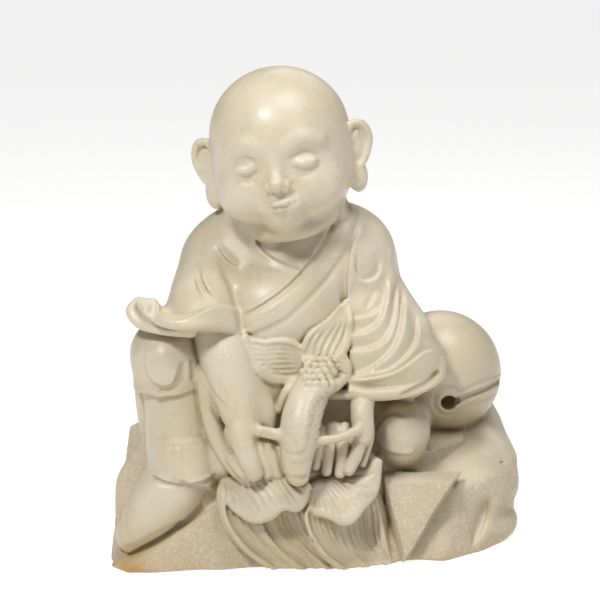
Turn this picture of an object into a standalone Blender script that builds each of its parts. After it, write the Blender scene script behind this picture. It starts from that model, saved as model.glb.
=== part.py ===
"""Young monk with a fish, carved in one piece from a block of pale marble.

The figure is worked on a lattice: every form adds to or cuts from the distance that each lattice
point has to the stone's surface, and the surface is then taken off as one closed mesh. All forms
are laid out in drawing units, which are shares of the statue's height, and become metres at the end.
"""
import bpy
import bmesh
import numpy as np
from math import cos, radians, sin
from mathutils import Euler

# Driving size, in metres
STATUE_HEIGHT = 0.477

# The drawing's own units
DRAWN_HEIGHT = 476.8
UNIT = STATUE_HEIGHT / DRAWN_HEIGHT
CELL = 2.5
STONE_LOW = (-215, -175, -9)
# v counts from the foot of the front sheet, which lies this far below its middle
SHEET_FOOT = 300
SHEET_TOP = 800
STONE_HIGH = (218, 140, SHEET_TOP - SHEET_FOOT)
# The drawing point that the origin stands at, on the ground in the middle of the statue's box
MIDDLE = np.array([5.17, -15.88, 0.0])

# How far the lattice surface is simplified, and how high above the ground a corner may be to stand on it
TRIANGLES = 9700
SEAT_LEVEL = 0.0004

# Finish
STONE_COLOUR = (0.62, 0.56, 0.46, 1)
STONE_ROUGHNESS = 0.38
SHARP_ANGLE = 35
# How abruptly a fold's step rises, and how deep the cut at its foot is as a share of its height
STEP = 3.0
CREASE = 0.20


class Block:
    """A block of stone on a lattice. Each lattice point holds its distance to the carved surface,
    negative inside the stone. Shapes are functions of x, y and z that return such a distance."""

    REACH = 7.0

    def __init__(self, low, high, cell):
        self.low = np.array(low, float)
        self.cell = cell
        self.axes = [np.arange(a, b + cell, cell, dtype=np.float32) for a, b in zip(low, high)]
        self.field = np.full([len(a) for a in self.axes], 100.0, np.float32)

    def window(self, low, high, margin):
        """Slices of the lattice that cover a box, and the coordinates in them."""
        cuts = []
        for axis, a, b in zip(self.axes, low, high):
            first = int(np.searchsorted(axis, a - margin))
            last = int(np.searchsorted(axis, b + margin))
            cuts.append(slice(first, last))
        x, y, z = (axis[cut] for axis, cut in zip(self.axes, cuts))
        return tuple(cuts), x[:, None, None], y[None, :, None], z[None, None, :]

    def add(self, shape, blend=0.0):
        """Joins a shape on, with a fillet of about the blend's size."""
        cuts, x, y, z = self.window(shape.low, shape.high, blend + self.REACH)
        self.field[cuts] = soft_min(self.field[cuts], shape.distance(x, y, z), blend)

    def cut(self, shape, blend=0.0):
        """Takes a shape away."""
        cuts, x, y, z = self.window(shape.low, shape.high, blend + self.REACH)
        self.field[cuts] = -soft_min(-self.field[cuts], shape.distance(x, y, z), blend)


class Shape:
    """A distance function and the box that holds the shape."""

    def __init__(self, low, high, distance):
        self.low = np.array(low, float)
        self.high = np.array(high, float)
        self.distance = distance

    def meet(self, other, blend=0.0):
        """What this shape and another share."""
        low = np.maximum(self.low, other.low)
        high = np.minimum(self.high, other.high)
        return Shape(
            low,
            high,
            lambda x, y, z: -soft_min(-self.distance(x, y, z), -other.distance(x, y, z), blend),
        )

    def join(self, other, blend=0.0):
        return Shape(
            np.minimum(self.low, other.low),
            np.maximum(self.high, other.high),
            lambda x, y, z: soft_min(self.distance(x, y, z), other.distance(x, y, z), blend),
        )


def soft_min(a, b, blend):
    """The smaller of two distances, rounded over where they are close."""
    least = np.minimum(a, b)
    if blend <= 0:
        return least
    near = np.maximum(blend - np.abs(a - b), 0) / blend
    return least - near * near * (blend / 4)


def turned(turn):
    """The matrix of a turn given as degrees about X, Y and Z."""
    return np.array(Euler([radians(a) for a in turn]).to_matrix())


def ellipsoid(centre, radii, turn=(0, 0, 0)):
    m = turned(turn)
    c = np.array(centre, float)
    reach = np.sqrt(((m * np.array(radii)) ** 2).sum(1))
    ra, rb, rc = radii

    def distance(x, y, z):
        dx, dy, dz = x - c[0], y - c[1], z - c[2]
        px, py, pz = (m[0, i] * dx + m[1, i] * dy + m[2, i] * dz for i in range(3))
        k0 = np.sqrt((px / ra) ** 2 + (py / rb) ** 2 + (pz / rc) ** 2)
        k1 = np.sqrt((px / ra**2) ** 2 + (py / rb**2) ** 2 + (pz / rc**2) ** 2)
        return k0 * (k0 - 1) / np.maximum(k1, 1e-6)

    return Shape(c - reach, c + reach, distance)


def curve(points, steps=6):
    """A smooth path through points, which may carry a radius as a fourth number."""
    p = np.array(points, float)
    p = np.vstack([2 * p[0] - p[1], p, 2 * p[-1] - p[-2]])
    out = []
    for i in range(1, len(p) - 2):
        for t in np.arange(steps) / steps:
            a, b, c, d = p[i - 1 : i + 3]
            bend = (2 * a - 5 * b + 4 * c - d) * t**2 + (3 * b - a - 3 * c + d) * t**3
            out.append((2 * b + (c - a) * t + bend) / 2)
    out.append(p[-2])
    return np.array(out)


def tube(path, flat=(1.0, 1.0, 1.0)):
    """A round bar along a path of x, y, z, radius. flat squeezes it along the world's axes."""
    path = np.array(path, float)
    f = np.array(flat, float)
    reach = path[:, 3:4] * np.maximum(f, 1.0)
    p = path[:, :3] / f

    def distance(x, y, z):
        x, y, z = x / f[0], y / f[1], z / f[2]
        best = None
        for a, b, ra, rb in zip(p[:-1], p[1:], path[:-1, 3], path[1:, 3]):
            d = b - a
            t = ((x - a[0]) * d[0] + (y - a[1]) * d[1] + (z - a[2]) * d[2]) / max(float(d @ d), 1e-9)
            t = np.clip(t, 0, 1)
            dx, dy, dz = x - a[0] - t * d[0], y - a[1] - t * d[1], z - a[2] - t * d[2]
            gap = np.sqrt(dx * dx + dy * dy + dz * dz) - (ra + (rb - ra) * t)
            best = gap if best is None else np.minimum(best, gap)
        return best * float(f.min())

    return Shape((path[:, :3] - reach).min(0), (path[:, :3] + reach).max(0), distance)


def hewn(x, y, z, length):
    """A pattern of flat, slanting faces between 0 and 1, as a pointed chisel leaves them."""
    total = 0
    for n in range(5):
        level = cos(1.1 + 0.9 * n)
        wide = sin(1.1 + 0.9 * n)
        way = (wide * cos(2.4 * n), wide * sin(2.4 * n), level)
        wave = (x * way[0] + y * way[1] + z * way[2]) / (length * (1 + 0.23 * n)) + 0.37 * n
        total = total + np.abs(wave - np.round(wave))
    return np.clip(total * 0.8 - 0.4, 0, 1.2)


def chunk(low, high, planes, blend=2.0, rough=0.0, length=60.0):
    """A faceted lump of rock: a box cut by planes, each given as a point on it and the way it faces."""
    low, high = np.array(low, float), np.array(high, float)
    sides = [(low, -np.eye(3)[i]) for i in range(3)] + [(high, np.eye(3)[i]) for i in range(3)]
    faces = sides + [(np.array(p, float), np.array(n, float) / np.linalg.norm(n)) for p, n in planes]

    def distance(x, y, z):
        worst = None
        for p, n in faces:
            d = (x - p[0]) * n[0] + (y - p[1]) * n[1] + (z - p[2]) * n[2]
            worst = d if worst is None else -soft_min(-worst, -d, blend)
        return worst + rough * (hewn(x, y, z, length) - 0.5) if rough else worst

    return Shape(low, high, distance)


def half(point, facing, low=(-400, -400, -400), high=(400, 400, 800)):
    """Everything behind a plane."""
    p, n = np.array(point, float), np.array(facing, float)
    n = n / np.linalg.norm(n)
    return Shape(low, high, lambda x, y, z: (x - p[0]) * n[0] + (y - p[1]) * n[1] + (z - p[2]) * n[2])


def settle(block):
    """Fills the few lattice points round which the surface would touch itself, so that it stays one skin."""
    def part(grid, shift):
        return grid[tuple(slice(1, None) if step else slice(None, -1) for step in shift)]

    corners = [(i, j, k) for i in (0, 1) for j in (0, 1) for k in (0, 1)]
    for _ in range(30):
        inside = block.field < 0
        fill = np.zeros(inside.shape, bool)
        for axis in range(3):
            i, j = [a for a in range(3) if a != axis]
            shifts = []
            for a, c in ((0, 0), (0, 1), (1, 0), (1, 1)):
                cut = [slice(None)] * 3
                cut[i] = slice(1, None) if a else slice(None, -1)
                cut[j] = slice(1, None) if c else slice(None, -1)
                shifts.append(tuple(cut))
            p00, p01, p10, p11 = (inside[cut] for cut in shifts)
            crossed = (p00 == p11) & (p01 == p10) & (p00 != p01)
            for cut in shifts:
                fill[cut] |= crossed
        total = sum(part(inside, c).astype(np.int8) for c in corners)
        for c in corners[:4]:
            other = tuple(1 - step for step in c)
            a, d = part(inside, c), part(inside, other)
            lone = ((total == 2) & a & d) | ((total == 6) & ~a & ~d)
            for shift in corners:
                fill[tuple(slice(1, None) if step else slice(None, -1) for step in shift)] |= lone
        fill &= ~inside
        if not fill.any():
            return
        block.field[fill] = -0.05 * block.cell


def surface(block):
    """Points and four-sided faces of the carved surface, one point in each cell that the surface crosses."""
    f = block.field
    inside = f < 0
    crossing = np.zeros(np.array(f.shape) - 1, np.int8)
    corners = [(i, j, k) for i in (0, 1) for j in (0, 1) for k in (0, 1)]
    nx, ny, nz = crossing.shape
    for i, j, k in corners:
        crossing += inside[i : nx + i, j : ny + j, k : nz + k]
    cells = np.argwhere((crossing > 0) & (crossing < 8))
    number = np.full(crossing.shape, -1, np.int32)
    number[tuple(cells.T)] = np.arange(len(cells))
    total = np.zeros((len(cells), 3))
    count = np.zeros(len(cells))
    value = {c: f[cells[:, 0] + c[0], cells[:, 1] + c[1], cells[:, 2] + c[2]] for c in corners}
    for a in corners:
        for axis in range(3):
            if a[axis]:
                continue
            b = tuple(1 if n == axis else v for n, v in enumerate(a))
            fa, fb = value[a], value[b]
            hit = (fa < 0) != (fb < 0)
            t = np.where(hit, fa / np.where(hit, fa - fb, 1), 0)
            for n in range(3):
                total[:, n] += np.where(hit, a[n] + (t if n == axis else 0), 0)
            count += hit
    points = block.low + (cells + total / count[:, None]) * block.cell
    faces = []
    for axis in range(3):
        u, v = (axis + 1) % 3, (axis + 2) % 3
        a = np.moveaxis(inside, axis, 0)
        change = np.argwhere(a[:-1] != a[1:])
        spot = np.zeros_like(change)
        order = [axis] + [n for n in range(3) if n != axis]
        for n, name in enumerate(order):
            spot[:, name] = change[:, n]
        ring = []
        for du, dv in ((0, 0), (1, 0), (1, 1), (0, 1)):
            c = spot.copy()
            c[:, u] -= du
            c[:, v] -= dv
            ring.append(number[tuple(c.T)])
        quads = np.stack(ring, 1)
        outward = inside[tuple(spot.T)]
        quads[~outward] = quads[~outward][:, ::-1]
        faces.append(quads)
    return points, np.vstack(faces)


def value_at(block, points):
    """The field at any points, read between the lattice points."""
    g = (np.asarray(points) - block.low) / block.cell
    top = np.array(block.field.shape) - 2
    base = np.clip(np.floor(g).astype(int), 0, top)
    f = np.clip(g - base, 0, 1)
    total = 0
    for i in (0, 1):
        for j in (0, 1):
            for k in (0, 1):
                weight = abs(1 - i - f[..., 0]) * abs(1 - j - f[..., 1]) * abs(1 - k - f[..., 2])
                total = total + weight * block.field[base[..., 0] + i, base[..., 1] + j, base[..., 2] + k]
    return total


class Sheet:
    """A drawing sheet that a line is drawn on and pressed back onto the stone. middle is the point that
    0, 0 lands on, and the columns of the matrix are the ways right, in and up."""

    def __init__(self, middle, matrix, distance=None):
        self.middle = np.array(middle, float)
        self.right, self.inward, self.up = np.array(matrix, float).T
        self.distance = distance

    def ray(self, u, v):
        u, v = np.asarray(u, float)[..., None], np.asarray(v, float)[..., None]
        spot = self.middle + u * self.right + v * self.up
        if self.distance is None:
            return spot, np.broadcast_to(self.inward, spot.shape)
        eye = self.middle - self.inward * self.distance
        way = spot - eye
        return spot, way / np.linalg.norm(way, axis=-1, keepdims=True)

    def seen(self, u, v, y, *rest):
        """The point at depth y that is seen at u, v."""
        spot, way = self.ray(u, v)
        return (*(spot + way * ((y - spot[1]) / way[1])), *rest)

    def touch(self, block, points, near=-200.0, far=200.0):
        """The points of the stone's surface that are seen at each u, v."""
        points = np.asarray(points, float)
        spot, way = self.ray(points[:, 0], points[:, 1])
        s = np.arange(near, far, block.cell * 0.7)
        line = spot[:, None] + way[:, None] * s[None, :, None]
        d = value_at(block, line)
        hit = np.argmax(d < 0, axis=1)
        hit = np.where(hit == 0, np.argmin(d, axis=1), hit)
        rows = np.arange(len(points))
        before = d[rows, np.maximum(hit - 1, 0)]
        after = d[rows, hit]
        t = np.clip(before / np.where(before - after == 0, 1, before - after), 0, 1)
        depth = s[np.maximum(hit - 1, 0)] + t * (s[1] - s[0])
        return spot + way * depth[:, None]

    def lay(self, block, points, steps=6, near=-200.0, far=200.0):
        """A smooth line drawn through u, v points and laid on the stone."""
        return self.touch(block, curve([(*p[:2], 0) for p in points], steps)[:, :2], near, far)


def groove(s, gap):
    return -np.exp(-gap * gap)


def ledge(s, gap, side=1):
    """High on the line's left as it is followed and low on its right, with a fine cut between."""
    return side * np.tanh(s * STEP) * np.exp(-gap * gap * 0.6) - CREASE * np.exp(-gap * gap * 6)


def lower(s, gap):
    """Low on the line's left, high on its right."""
    return ledge(s, gap, -1)


def draw(block, line, width, height, form=groove, inward=None, ends=(0.15, 0.15)):
    """Works the stone along a line that lies on it: width is the mark's half width."""
    line = np.asarray(line, float)[:, :3]
    reach = width * 3
    cuts, x, y, z = block.window(line.min(0), line.max(0), reach)
    shape = [len(axis.ravel()) for axis in (x, y, z)]
    best = np.full(shape, 1e9, np.float32)
    side = np.zeros(shape, np.float32)
    along = np.zeros(shape, np.float32)
    lengths = np.linalg.norm(np.diff(line, axis=0), axis=1)
    total = max(float(lengths.sum()), 1e-6)
    done = 0.0
    for a, b, length in zip(line[:-1], line[1:], lengths):
        if length < 1e-6:
            continue
        lo, hi = np.minimum(a, b) - reach, np.maximum(a, b) + reach
        part = tuple(
            slice(int(np.searchsorted(axis.ravel(), l)), int(np.searchsorted(axis.ravel(), h)))
            for axis, l, h in zip((x, y, z), lo, hi)
        )
        px, py, pz = x[part[0]], y[:, part[1]], z[:, :, part[2]]
        d = b - a
        t = np.clip(((px - a[0]) * d[0] + (py - a[1]) * d[1] + (pz - a[2]) * d[2]) / float(d @ d), 0, 1)
        gx, gy, gz = px - a[0] - t * d[0], py - a[1] - t * d[1], pz - a[2] - t * d[2]
        gap = np.sqrt(gx * gx + gy * gy + gz * gz)
        nearer = gap < best[part]
        best[part] = np.where(nearer, gap, best[part])
        along[part] = np.where(nearer, (done + t * length) / total, along[part])
        if inward is not None:
            across = np.cross(inward, d)
            across = -across / max(np.linalg.norm(across), 1e-6)
            s = gx * across[0] + gy * across[1] + gz * across[2]
            side[part] = np.where(nearer, s, side[part])
        done += length
    fade = np.ones(shape, np.float32)
    if ends[0]:
        fade = fade * np.clip(along / ends[0], 0, 1)
    if ends[1]:
        fade = fade * np.clip((1 - along) / ends[1], 0, 1)
    fade = fade * fade * (3 - 2 * fade)
    block.field[cuts] -= height * fade * form(side / width, best / width)


def fan(first, last, count, blend=0.0):
    """Bars spread evenly between two guide lines of x, y, z, radius."""
    first, last = np.array(first, float), np.array(last, float)
    whole = None
    for n in range(count):
        t = n / max(count - 1, 1)
        bar = tube(first * (1 - t) + last * t)
        whole = bar if whole is None else whole.join(bar, blend)
    return whole


# The front sheet: u runs to the right and v up, in drawing units, as the statue is seen from in front
# and a little above. The sheet's scale is true at the distance of the statue's middle.
SHEET_TILT = radians(14)
SHEET_DISTANCE = 2000
FRONT = Sheet(
    (-14.0, -20.0, 243.6),
    np.array([[1, 0, 0], [0, cos(SHEET_TILT), -sin(SHEET_TILT)], [0, sin(SHEET_TILT),
        cos(SHEET_TILT)]]).T,
    SHEET_DISTANCE,
)
INWARD = FRONT.inward


def seen(u, v, y, *rest):
    return FRONT.seen(u, v - SHEET_FOOT, y, *rest)


def path(*points, steps=6):
    """A smooth path through sheet points of u, v, depth and radius."""
    return curve([seen(*p) for p in points], steps)


def rope(*points, flat=(1, 1, 1), steps=6):
    return tube(path(*points, steps=steps), flat)


def plate(first, last, count, blend=3.0):
    """A plate that spans the space between two sheet lines of u, v, depth and half thickness."""
    return fan(path(*first), path(*last), count, blend)


def lay(b, *points, steps=6):
    return FRONT.lay(b, [(u, v - SHEET_FOOT) for u, v in points], steps)


def mark(b, width, height, form, *points, ends=(0.15, 0.15), steps=6):
    draw(b, lay(b, *points, steps=steps), width, height, form, INWARD, ends)


def marks(b, width, height, form, guides, count, ends=(0.15, 0.15)):
    """Lines spread evenly over the guide lines, from the first to the last."""
    guides = [np.array(guide, float) for guide in guides]
    for place in np.linspace(0, len(guides) - 1, count):
        n = min(int(place), len(guides) - 2)
        mark(b, width, height, form, *(guides[n] * (n + 1 - place) + guides[n + 1] * (place - n)),
            ends=ends)


BACK = Sheet((0, 0, 0), np.array([[1, 0, 0], [0, -1, 0], [0, 0, 1]]).T)


def back_mark(b, width, height, form, *points, ends=(0.2, 0.2)):
    """A line drawn on the back, in x and z."""
    draw(b, BACK.lay(b, points, 6), width, height, form, BACK.inward, ends)


def facet(*corners, out=(0, -1, 0.3)):
    """A cut plane through three sheet points, facing outward."""
    a, b, c = (np.array(seen(*corner)) for corner in corners)
    normal = np.cross(b - a, c - a)
    if normal @ np.array(out) < 0:
        normal = -normal
    return a, normal


def carve_base(b):
    # middle mass under the figure
    b.add(chunk((-170, -70, 0), (150, 118, 96), [
        ((-170, 0, 60), (-1, 0, 0.25)), ((100, -70, 50), (1, -1, 0)), ((0, 118, 50), (0.1, 1, 0.35)),
        ((-150, 110, 50), (-1, 1, 0.2)), ((170, 105, 50), (1, 1, 0.2)), ((60, 118, 30), (0.5, 1, 0.1)),
        ((-60, 112, 74), (-0.1, 1, 0.8)), ((-20, 118, 20), (-0.25, 1, 0.1)),
    ], 2, 7, 90))
    # right rock: body with a sloping top, and two rounded lobes at its end
    b.add(chunk((48, -118, 0), (210, 96, 118), [
        facet((88, 115, -96), (215, 128, -43), (120, 160, -20), out=(0, 0, 1)),
        facet((100, 100, -86), (160, 112, -82), (125, 36, -112)),
        facet((145, 35, -112), (184, 42, -82), (174, 105, -74), out=(1, -1, 0)),
        facet((186, 42, -82), (213, 53, -36), (198, 118, -50), out=(1, -1, 0)),
        facet((208, 60, -20), (215, 78, 30), (214, 118, -10), out=(1, -0.5, 0)),
        ((208, 60, 60), (1, 0.2, 0.35)), ((150, 96, 60), (0.3, 1, 0.3)), ((200, 20, 84), (1, -0.1, 1)),
    ], 5, 3, 60), 8)
    b.add(ellipsoid((165, -14, 55), (44.5, 54, 34), (0, 12, 8)), 10)
    b.add(ellipsoid((163, -22, 14), (45.5, 52, 26), (0, 0, 8)), 4)
    # rock behind on the right, under the wooden drum
    b.add(chunk((110, 10, 0), (206, 112, 138), [
        ((186, 40, 104), (1, -0.2, 0.7)), ((150, 30, 112), (-0.1, -0.7, 1)), ((201, 90, 60), (1, 0.2,
            0.05)),
        ((180, 108, 60), (0.7, 1, 0.3)), ((150, 112, 100), (-0.2, 1, 0.8)),
    ], 6, 4, 60), 12)
    # prism that stands out in front of it
    b.add(chunk((70, -126, 0), (185, -74, 82), [
        facet((86, 116, -99), (155, 121, -104), (106, 42, -122)),
        facet((155, 121, -104), (106, 42, -122), (140, 90, -60), out=(1, -0.3, 0)),
        facet((86, 116, -99), (155, 121, -104), (120, 140, -58), out=(0, 0, 1)),
        facet((86, 116, -99), (106, 42, -122), (84, 60, -80), out=(-1, 0, 0)),
    ], 0.5, 1.5, 50), 1)
    # left rock under the raised foot
    b.add(chunk((-201, -140, 0), (-60, 60, 112), [
        facet((-184, 29, -136), (-177, 47, -133), (-180, 97, -50), out=(-1, 0, 0)),
        facet((-150, 40, -138), (-94, 84, -119), (-150, 57, -119), out=(0, -0.3, 1)),
        facet((-187, 27, -139), (-178, 50, -131), (-150, 40, -138)),
        facet((-150, 40, -138), (-94, 84, -119), (-86, 38, -129)),
        ((-193, -60, 80), (-1, 0, 0.12)), ((-120, 58, 60), (-0.2, 1, 0.3)),
    ], 0.5, 0.8, 40))
    b.add(chunk((-110, -134, 0), (-40, -40, 100), [
        facet((-94, 77, -118), (-79, 112, -104), (-83, 36, -131), out=(-1, -0.5, 0)),
        facet((-79, 112, -104), (-83, 36, -131), (-55, 37, -130), out=(0, -1, 0)),
    ], 1, 1.5, 40))
    b.add(chunk((-196, -98, 0), (-120, 80, 128), [
        ((-188, -80, 96), (-1, -0.15, 0.3)), ((-170, -60, 115), (-1.8, 0.3, 1)), ((-180, 70, 60), (-0.6,
            1, 0.3)),
        ((-175, -94, 60), (-0.3, -1, 0.5)), ((-140, 70, 100), (0, 1, 0.7)),
    ], 4, 6, 70))
    # front middle under the waves
    b.add(chunk((-92, -118, 0), (100, -40, 78), [
        ((0, -118, 6), (0, -1, 0.18)), facet((76, 110, -110), (93, 34, -121), (84, 60, -60), out=(1, 0,
            0)),
    ], 3))


def carve_rock_edge(b):
    """The rounded end of the right rock stands out from the broken face beside it."""
    mark(b, 10, 4.5, ledge, (191, 108), (188, 90), (183, 74), (176, 60), (168, 50), ends=(0.35, 0.4))


def carve_legs(b):
    # raised right leg: thigh, knee and the trouser's gathered end
    b.add(rope((-50, 200, 40, 52), (-100, 225, -20, 45), (-135, 248, -62, 34)), 14)
    b.add(ellipsoid(seen(-133, 238, -76), (34, 36, 36)), 8)
    knee = rope((-133, 240, -74, 33.5), (-131, 215, -76, 35)).meet(half(seen(-130, 207, -100), (0.1, 0.1,
        -1)), 2)
    b.add(knee, 3)
    # shin in its legging
    b.add(rope((-126, 215, -74, 31), (-122, 185, -78, 32), (-120, 160, -82, 33)), 2)
    # drape behind the shin
    b.add(rope((-156, 222, -58, 10), (-155, 195, -58, 9), (-150, 160, -62, 8), (-147, 147, -64, 6)), 4)
    # gaiter cuff
    cuff = rope((-119, 172, -82, 33), (-118, 150, -86, 35), (-117, 122, -92, 36)).meet(
        half(seen(-119, 160, -118), (0, 0.1, 1)), 1.5)
    b.add(cuff.meet(half(seen(-117, 118, -120), (-0.25, -0.5, -1)), 1.5), 2)
    # shoe
    shoe = rope((-116, 130, -86, 34), (-130, 108, -96, 33), (-149, 83, -106, 28), (-164, 66, -113, 20))
    b.add(shoe.meet(half(seen(-139, 66, -118), (0.49, -0.09, -0.87)), 1), 2)
    # kneeling left leg
    b.add(rope((20, 190, 40, 48), (70, 180, -10, 42), (101, 170, -52, 29)), 10)
    b.add(ellipsoid(seen(101, 168, -60), (26, 34, 34)), 6)
    b.add(tube([(85, -50, 118, 26), (96, 10, 114, 28), (92, 60, 112, 22)]), 6)


def carve_leg_folds(b):
    # U folds over the raised knee
    mark(b, 5, 3.5, ledge, (-158, 250), (-153, 226), (-141, 214), (-127, 216), (-119, 238))
    mark(b, 4, 3.0, groove, (-166, 245), (-163, 214), (-150, 204), ends=(0.3, 0.0))
    mark(b, 3, 3.0, groove, (-107, 244), (-107, 218))
    mark(b, 3, 3.0, groove, (-116, 240), (-116, 216))
    mark(b, 2.6, 3.0, ledge, (-150, 126), (-133, 118), (-113, 116), (-92, 121), (-80, 134), ends=(0.1,
        0.1))
    # sole where the shoe meets the rock
    mark(b, 4.0, 5.0, groove, (-75, 134), (-80, 116), (-89, 99), (-113, 80), (-139, 66), (-161, 54),
        (-176, 50), ends=(0.05, 0.1))
    # kneeling knee cap
    mark(b, 4, 4, ledge, (110, 182), (88, 184), (75, 166), (80, 154), (96, 146), (112, 146), (118, 155))


def carve_body(b):
    b.add(ellipsoid((-27, 24, 165), (112, 88, 82)), 0)
    b.add(ellipsoid((-27, 14, 235), (92, 70, 100)), 20)
    b.add(ellipsoid((-28, 8, 288), (86, 60, 62)), 25)
    b.add(ellipsoid(seen(-22, 288, -36), (66, 60, 58)), 20)
    b.add(ellipsoid(seen(-73, 335, 2), (45, 49, 48)), 20)
    b.add(ellipsoid(seen(50, 345, 2), (42, 48, 48)), 20)
    # robe spread over the rock behind
    b.add(ellipsoid((-30, 30, 106), (124, 84, 20)), 16)
    for x, y, turn, size in ((-120, 78, 35, 22), (-75, 100, 20, 24), (-22, 108, 0, 26), (30, 100, -15,
        24), (72, 84, -30, 20)):
        b.add(ellipsoid((x, y - 8, 100), (size * 0.7, size, 15), (0, 0, turn)), 9)


def carve_back_folds(b):
    out = (0.25, 0.1)
    back_mark(b, 6, 4.5, groove, (62, 330), (30, 285), (-20, 235), (-75, 190), (-115, 150), ends=out)
    back_mark(b, 7, 5.0, groove, (66, 315), (50, 262), (12, 205), (-35, 160), (-72, 118), ends=out)
    back_mark(b, 7, 5.0, groove, (72, 300), (68, 245), (46, 190), (12, 145), (-10, 112), ends=out)
    back_mark(b, 6, 4.5, groove, (78, 280), (84, 230), (76, 180), (58, 140), (48, 112), ends=out)
    back_mark(b, 6, 4.5, groove, (-100, 320), (-104, 270), (-98, 225), (-80, 190), ends=(0.2, 0.35))
    back_mark(b, 6, 4.0, groove, (-86, 335), (-70, 300), (-40, 270), (-8, 258), ends=(0.2, 0.35))
    back_mark(b, 5, 4.0, groove, (-126, 180), (-122, 150), (-116, 118), ends=(0.3, 0.1))
    back_mark(b, 5, 4.0, groove, (-96, 150), (-98, 130), (-100, 106), ends=(0.3, 0.1))
    back_mark(b, 3, 3.0, groove, (-140, 112), (-100, 103), (-50, 106), (0, 102), (50, 106), (90, 110),
        ends=(0.1, 0.1))


def carve_neck(b):
    neck = tube([(-28, 6, 320, 42), (-30, -6, 350, 40)])
    b.add(neck, 8)


def carve_collar(b):
    # rolled edge round the back of the neck
    b.add(tube(curve([(-78, -22, 330, 5), (-74, 14, 344, 6), (-52, 44, 350, 6.5), (-26, 54, 351, 6.5),
        (4, 44, 350, 6.5),
                      (22, 12, 345, 6), (24, -24, 332, 5)], 6)), 5)
    # chest band: a flat strip between two lines
    top = [(42, 401), (30, 372), (16, 348), (3, 330), (-16, 311), (-37, 296), (-59, 284)]
    low = [(60, 388), (54.5, 369), (43, 343), (25, 318), (4, 296), (-17, 278), (-53, 262)]
    mid = [((a + c) / 2, (e + d) / 2) for (a, e), (c, d) in zip(top, low)]
    draw(b, lay(b, *mid), 14, 1.6, lambda s, g: np.clip(1.6 - 1.6 * g, 0, 1), INWARD, (0.02, 0.02))
    mark(b, 3.4, 2.2, lower, *top, ends=(0.02, 0.02))
    mark(b, 2.4, 2.6, groove, *low, ends=(0.02, 0.02))
    # inner neckline
    mark(b, 4.5, 2.6, lower, (-66, 385), (-53, 372), (-43, 357), (-32, 346), (-16, 337), (3, 330),
        ends=(0.05, 0.1))


def carve_robe_folds(b):
    # left sleeve: a hanging loop, and under it stepped folds that sweep in from the shoulder
    e = (0.25, 0.02)
    mark(b, 4.5, 2.4, lower, (56, 350), (55.5, 334), (57, 327), (61, 321.5), (66, 320), (73, 322), (78,
        328), (81, 345), ends=(0.3, 0.3))
    mark(b, 4.5, 2.4, ledge, (84, 301), (80, 293), (72, 287), (63.5, 284), (50, 282.5), ends=e)
    mark(b, 3.0, 2.0, groove, (78, 316), (71, 301), (64, 289), ends=(0.3, 0.2))
    mark(b, 6.5, 3.2, ledge, (87, 328), (86, 310), (84.5, 296.5), (80, 283), (73, 274), (62, 268.5), (48,
        267.5), ends=e)
    mark(b, 7.0, 3.4, ledge, (97, 322), (96.5, 307), (95.5, 289), (92, 275), (85, 261.5), (74, 254), (61,
        251), (46, 251.5), ends=e)
    mark(b, 7.0, 3.6, ledge, (104, 312), (103, 296), (101.5, 278), (97, 261.5), (88, 246.5), (74, 234.5),
        (61, 228.5), (46, 226), ends=e)
    mark(b, 5.0, 2.6, ledge, (116, 288), (117, 275), (116, 260), (109, 248), (98.5, 237.5), (85, 230),
        (65, 226), (46, 224), ends=e)
    # inner edge of the sleeve
    mark(b, 5, 3.6, ledge, (52, 362), (47.5, 334), (46.5, 304), (49, 290), (48, 240), (47, 205),
        ends=(0.1, 0.02))
    # hem line of the left sleeve
    mark(b, 3.0, 2.4, ledge, (141, 247), (132, 250), (123, 247.5), (112, 239), (98.5, 230), (85, 225),
        (65, 221.5), (46, 221), ends=(0.1, 0.02))
    # right chest and sleeve folds
    mark(b, 4.5, 2.8, ledge, (-84, 356), (-78, 345), (-70, 337), (-58, 330), ends=(0.4, 0.5))
    mark(b, 4.0, 2.8, ledge, (-101, 336), (-98, 320), (-90, 306), (-80, 298), ends=(0.4, 0.4))
    mark(b, 4.0, 2.4, ledge, (-106, 326), (-103, 312), (-94, 300), ends=(0.4, 0.4))
    # crease where the sleeve leaves the chest
    mark(b, 5, 5, groove, (-80, 346), (-77, 335), (-68, 314), (-61, 293), (-57, 268), ends=(0.4, 0.02))


def carve_right_sleeve(b):
    sleeve = rope((-76, 335, 0, 43), (-85, 312, -28, 42), (-94, 290, -62, 39), (-98, 266, -78, 41))
    sleeve = sleeve.meet(half(seen(-110, 272, -120), (-0.04, -0.40, -1)), 2)
    b.add(sleeve, 8)
    b.add(ellipsoid(seen(-138, 283, -84), (24, 22, 9), (0, 24, 0)), 6)
    # layer under the hem, which turns up at the corner
    b.add(plate(
        [(-112, 272, -100, 5), (-135, 274, -96, 5), (-152, 280, -88, 5), (-158, 288, -80, 5), (-150, 294,
            -72, 5)],
        [(-108, 267, -108, 4), (-132, 269, -106, 4), (-158, 275, -96, 4.5), (-169, 288, -86, 5), (-162,
            298, -76, 5)],
        7), 5)
    # hem: a flat band that flares out
    b.add(plate(
        [(-56, 287, -80, 3), (-80, 291, -101, 4), (-100, 286, -113, 4), (-120, 281, -113, 4), (-136, 284,
            -106, 4), (-144, 291, -95, 4), (-146, 297, -84, 4)],
        [(-55, 267, -85, 3), (-76, 273, -107, 3), (-97, 273.5, -121, 3), (-119, 273, -122, 3), (-138,
            277, -115, 3), (-152, 287, -104, 3), (-160, 297, -90, 3.5)],
        9), 5)
    b.cut(ellipsoid(seen(-146, 291, -112), (7, 16, 9), (0, 30, 0)), 5)


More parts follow.
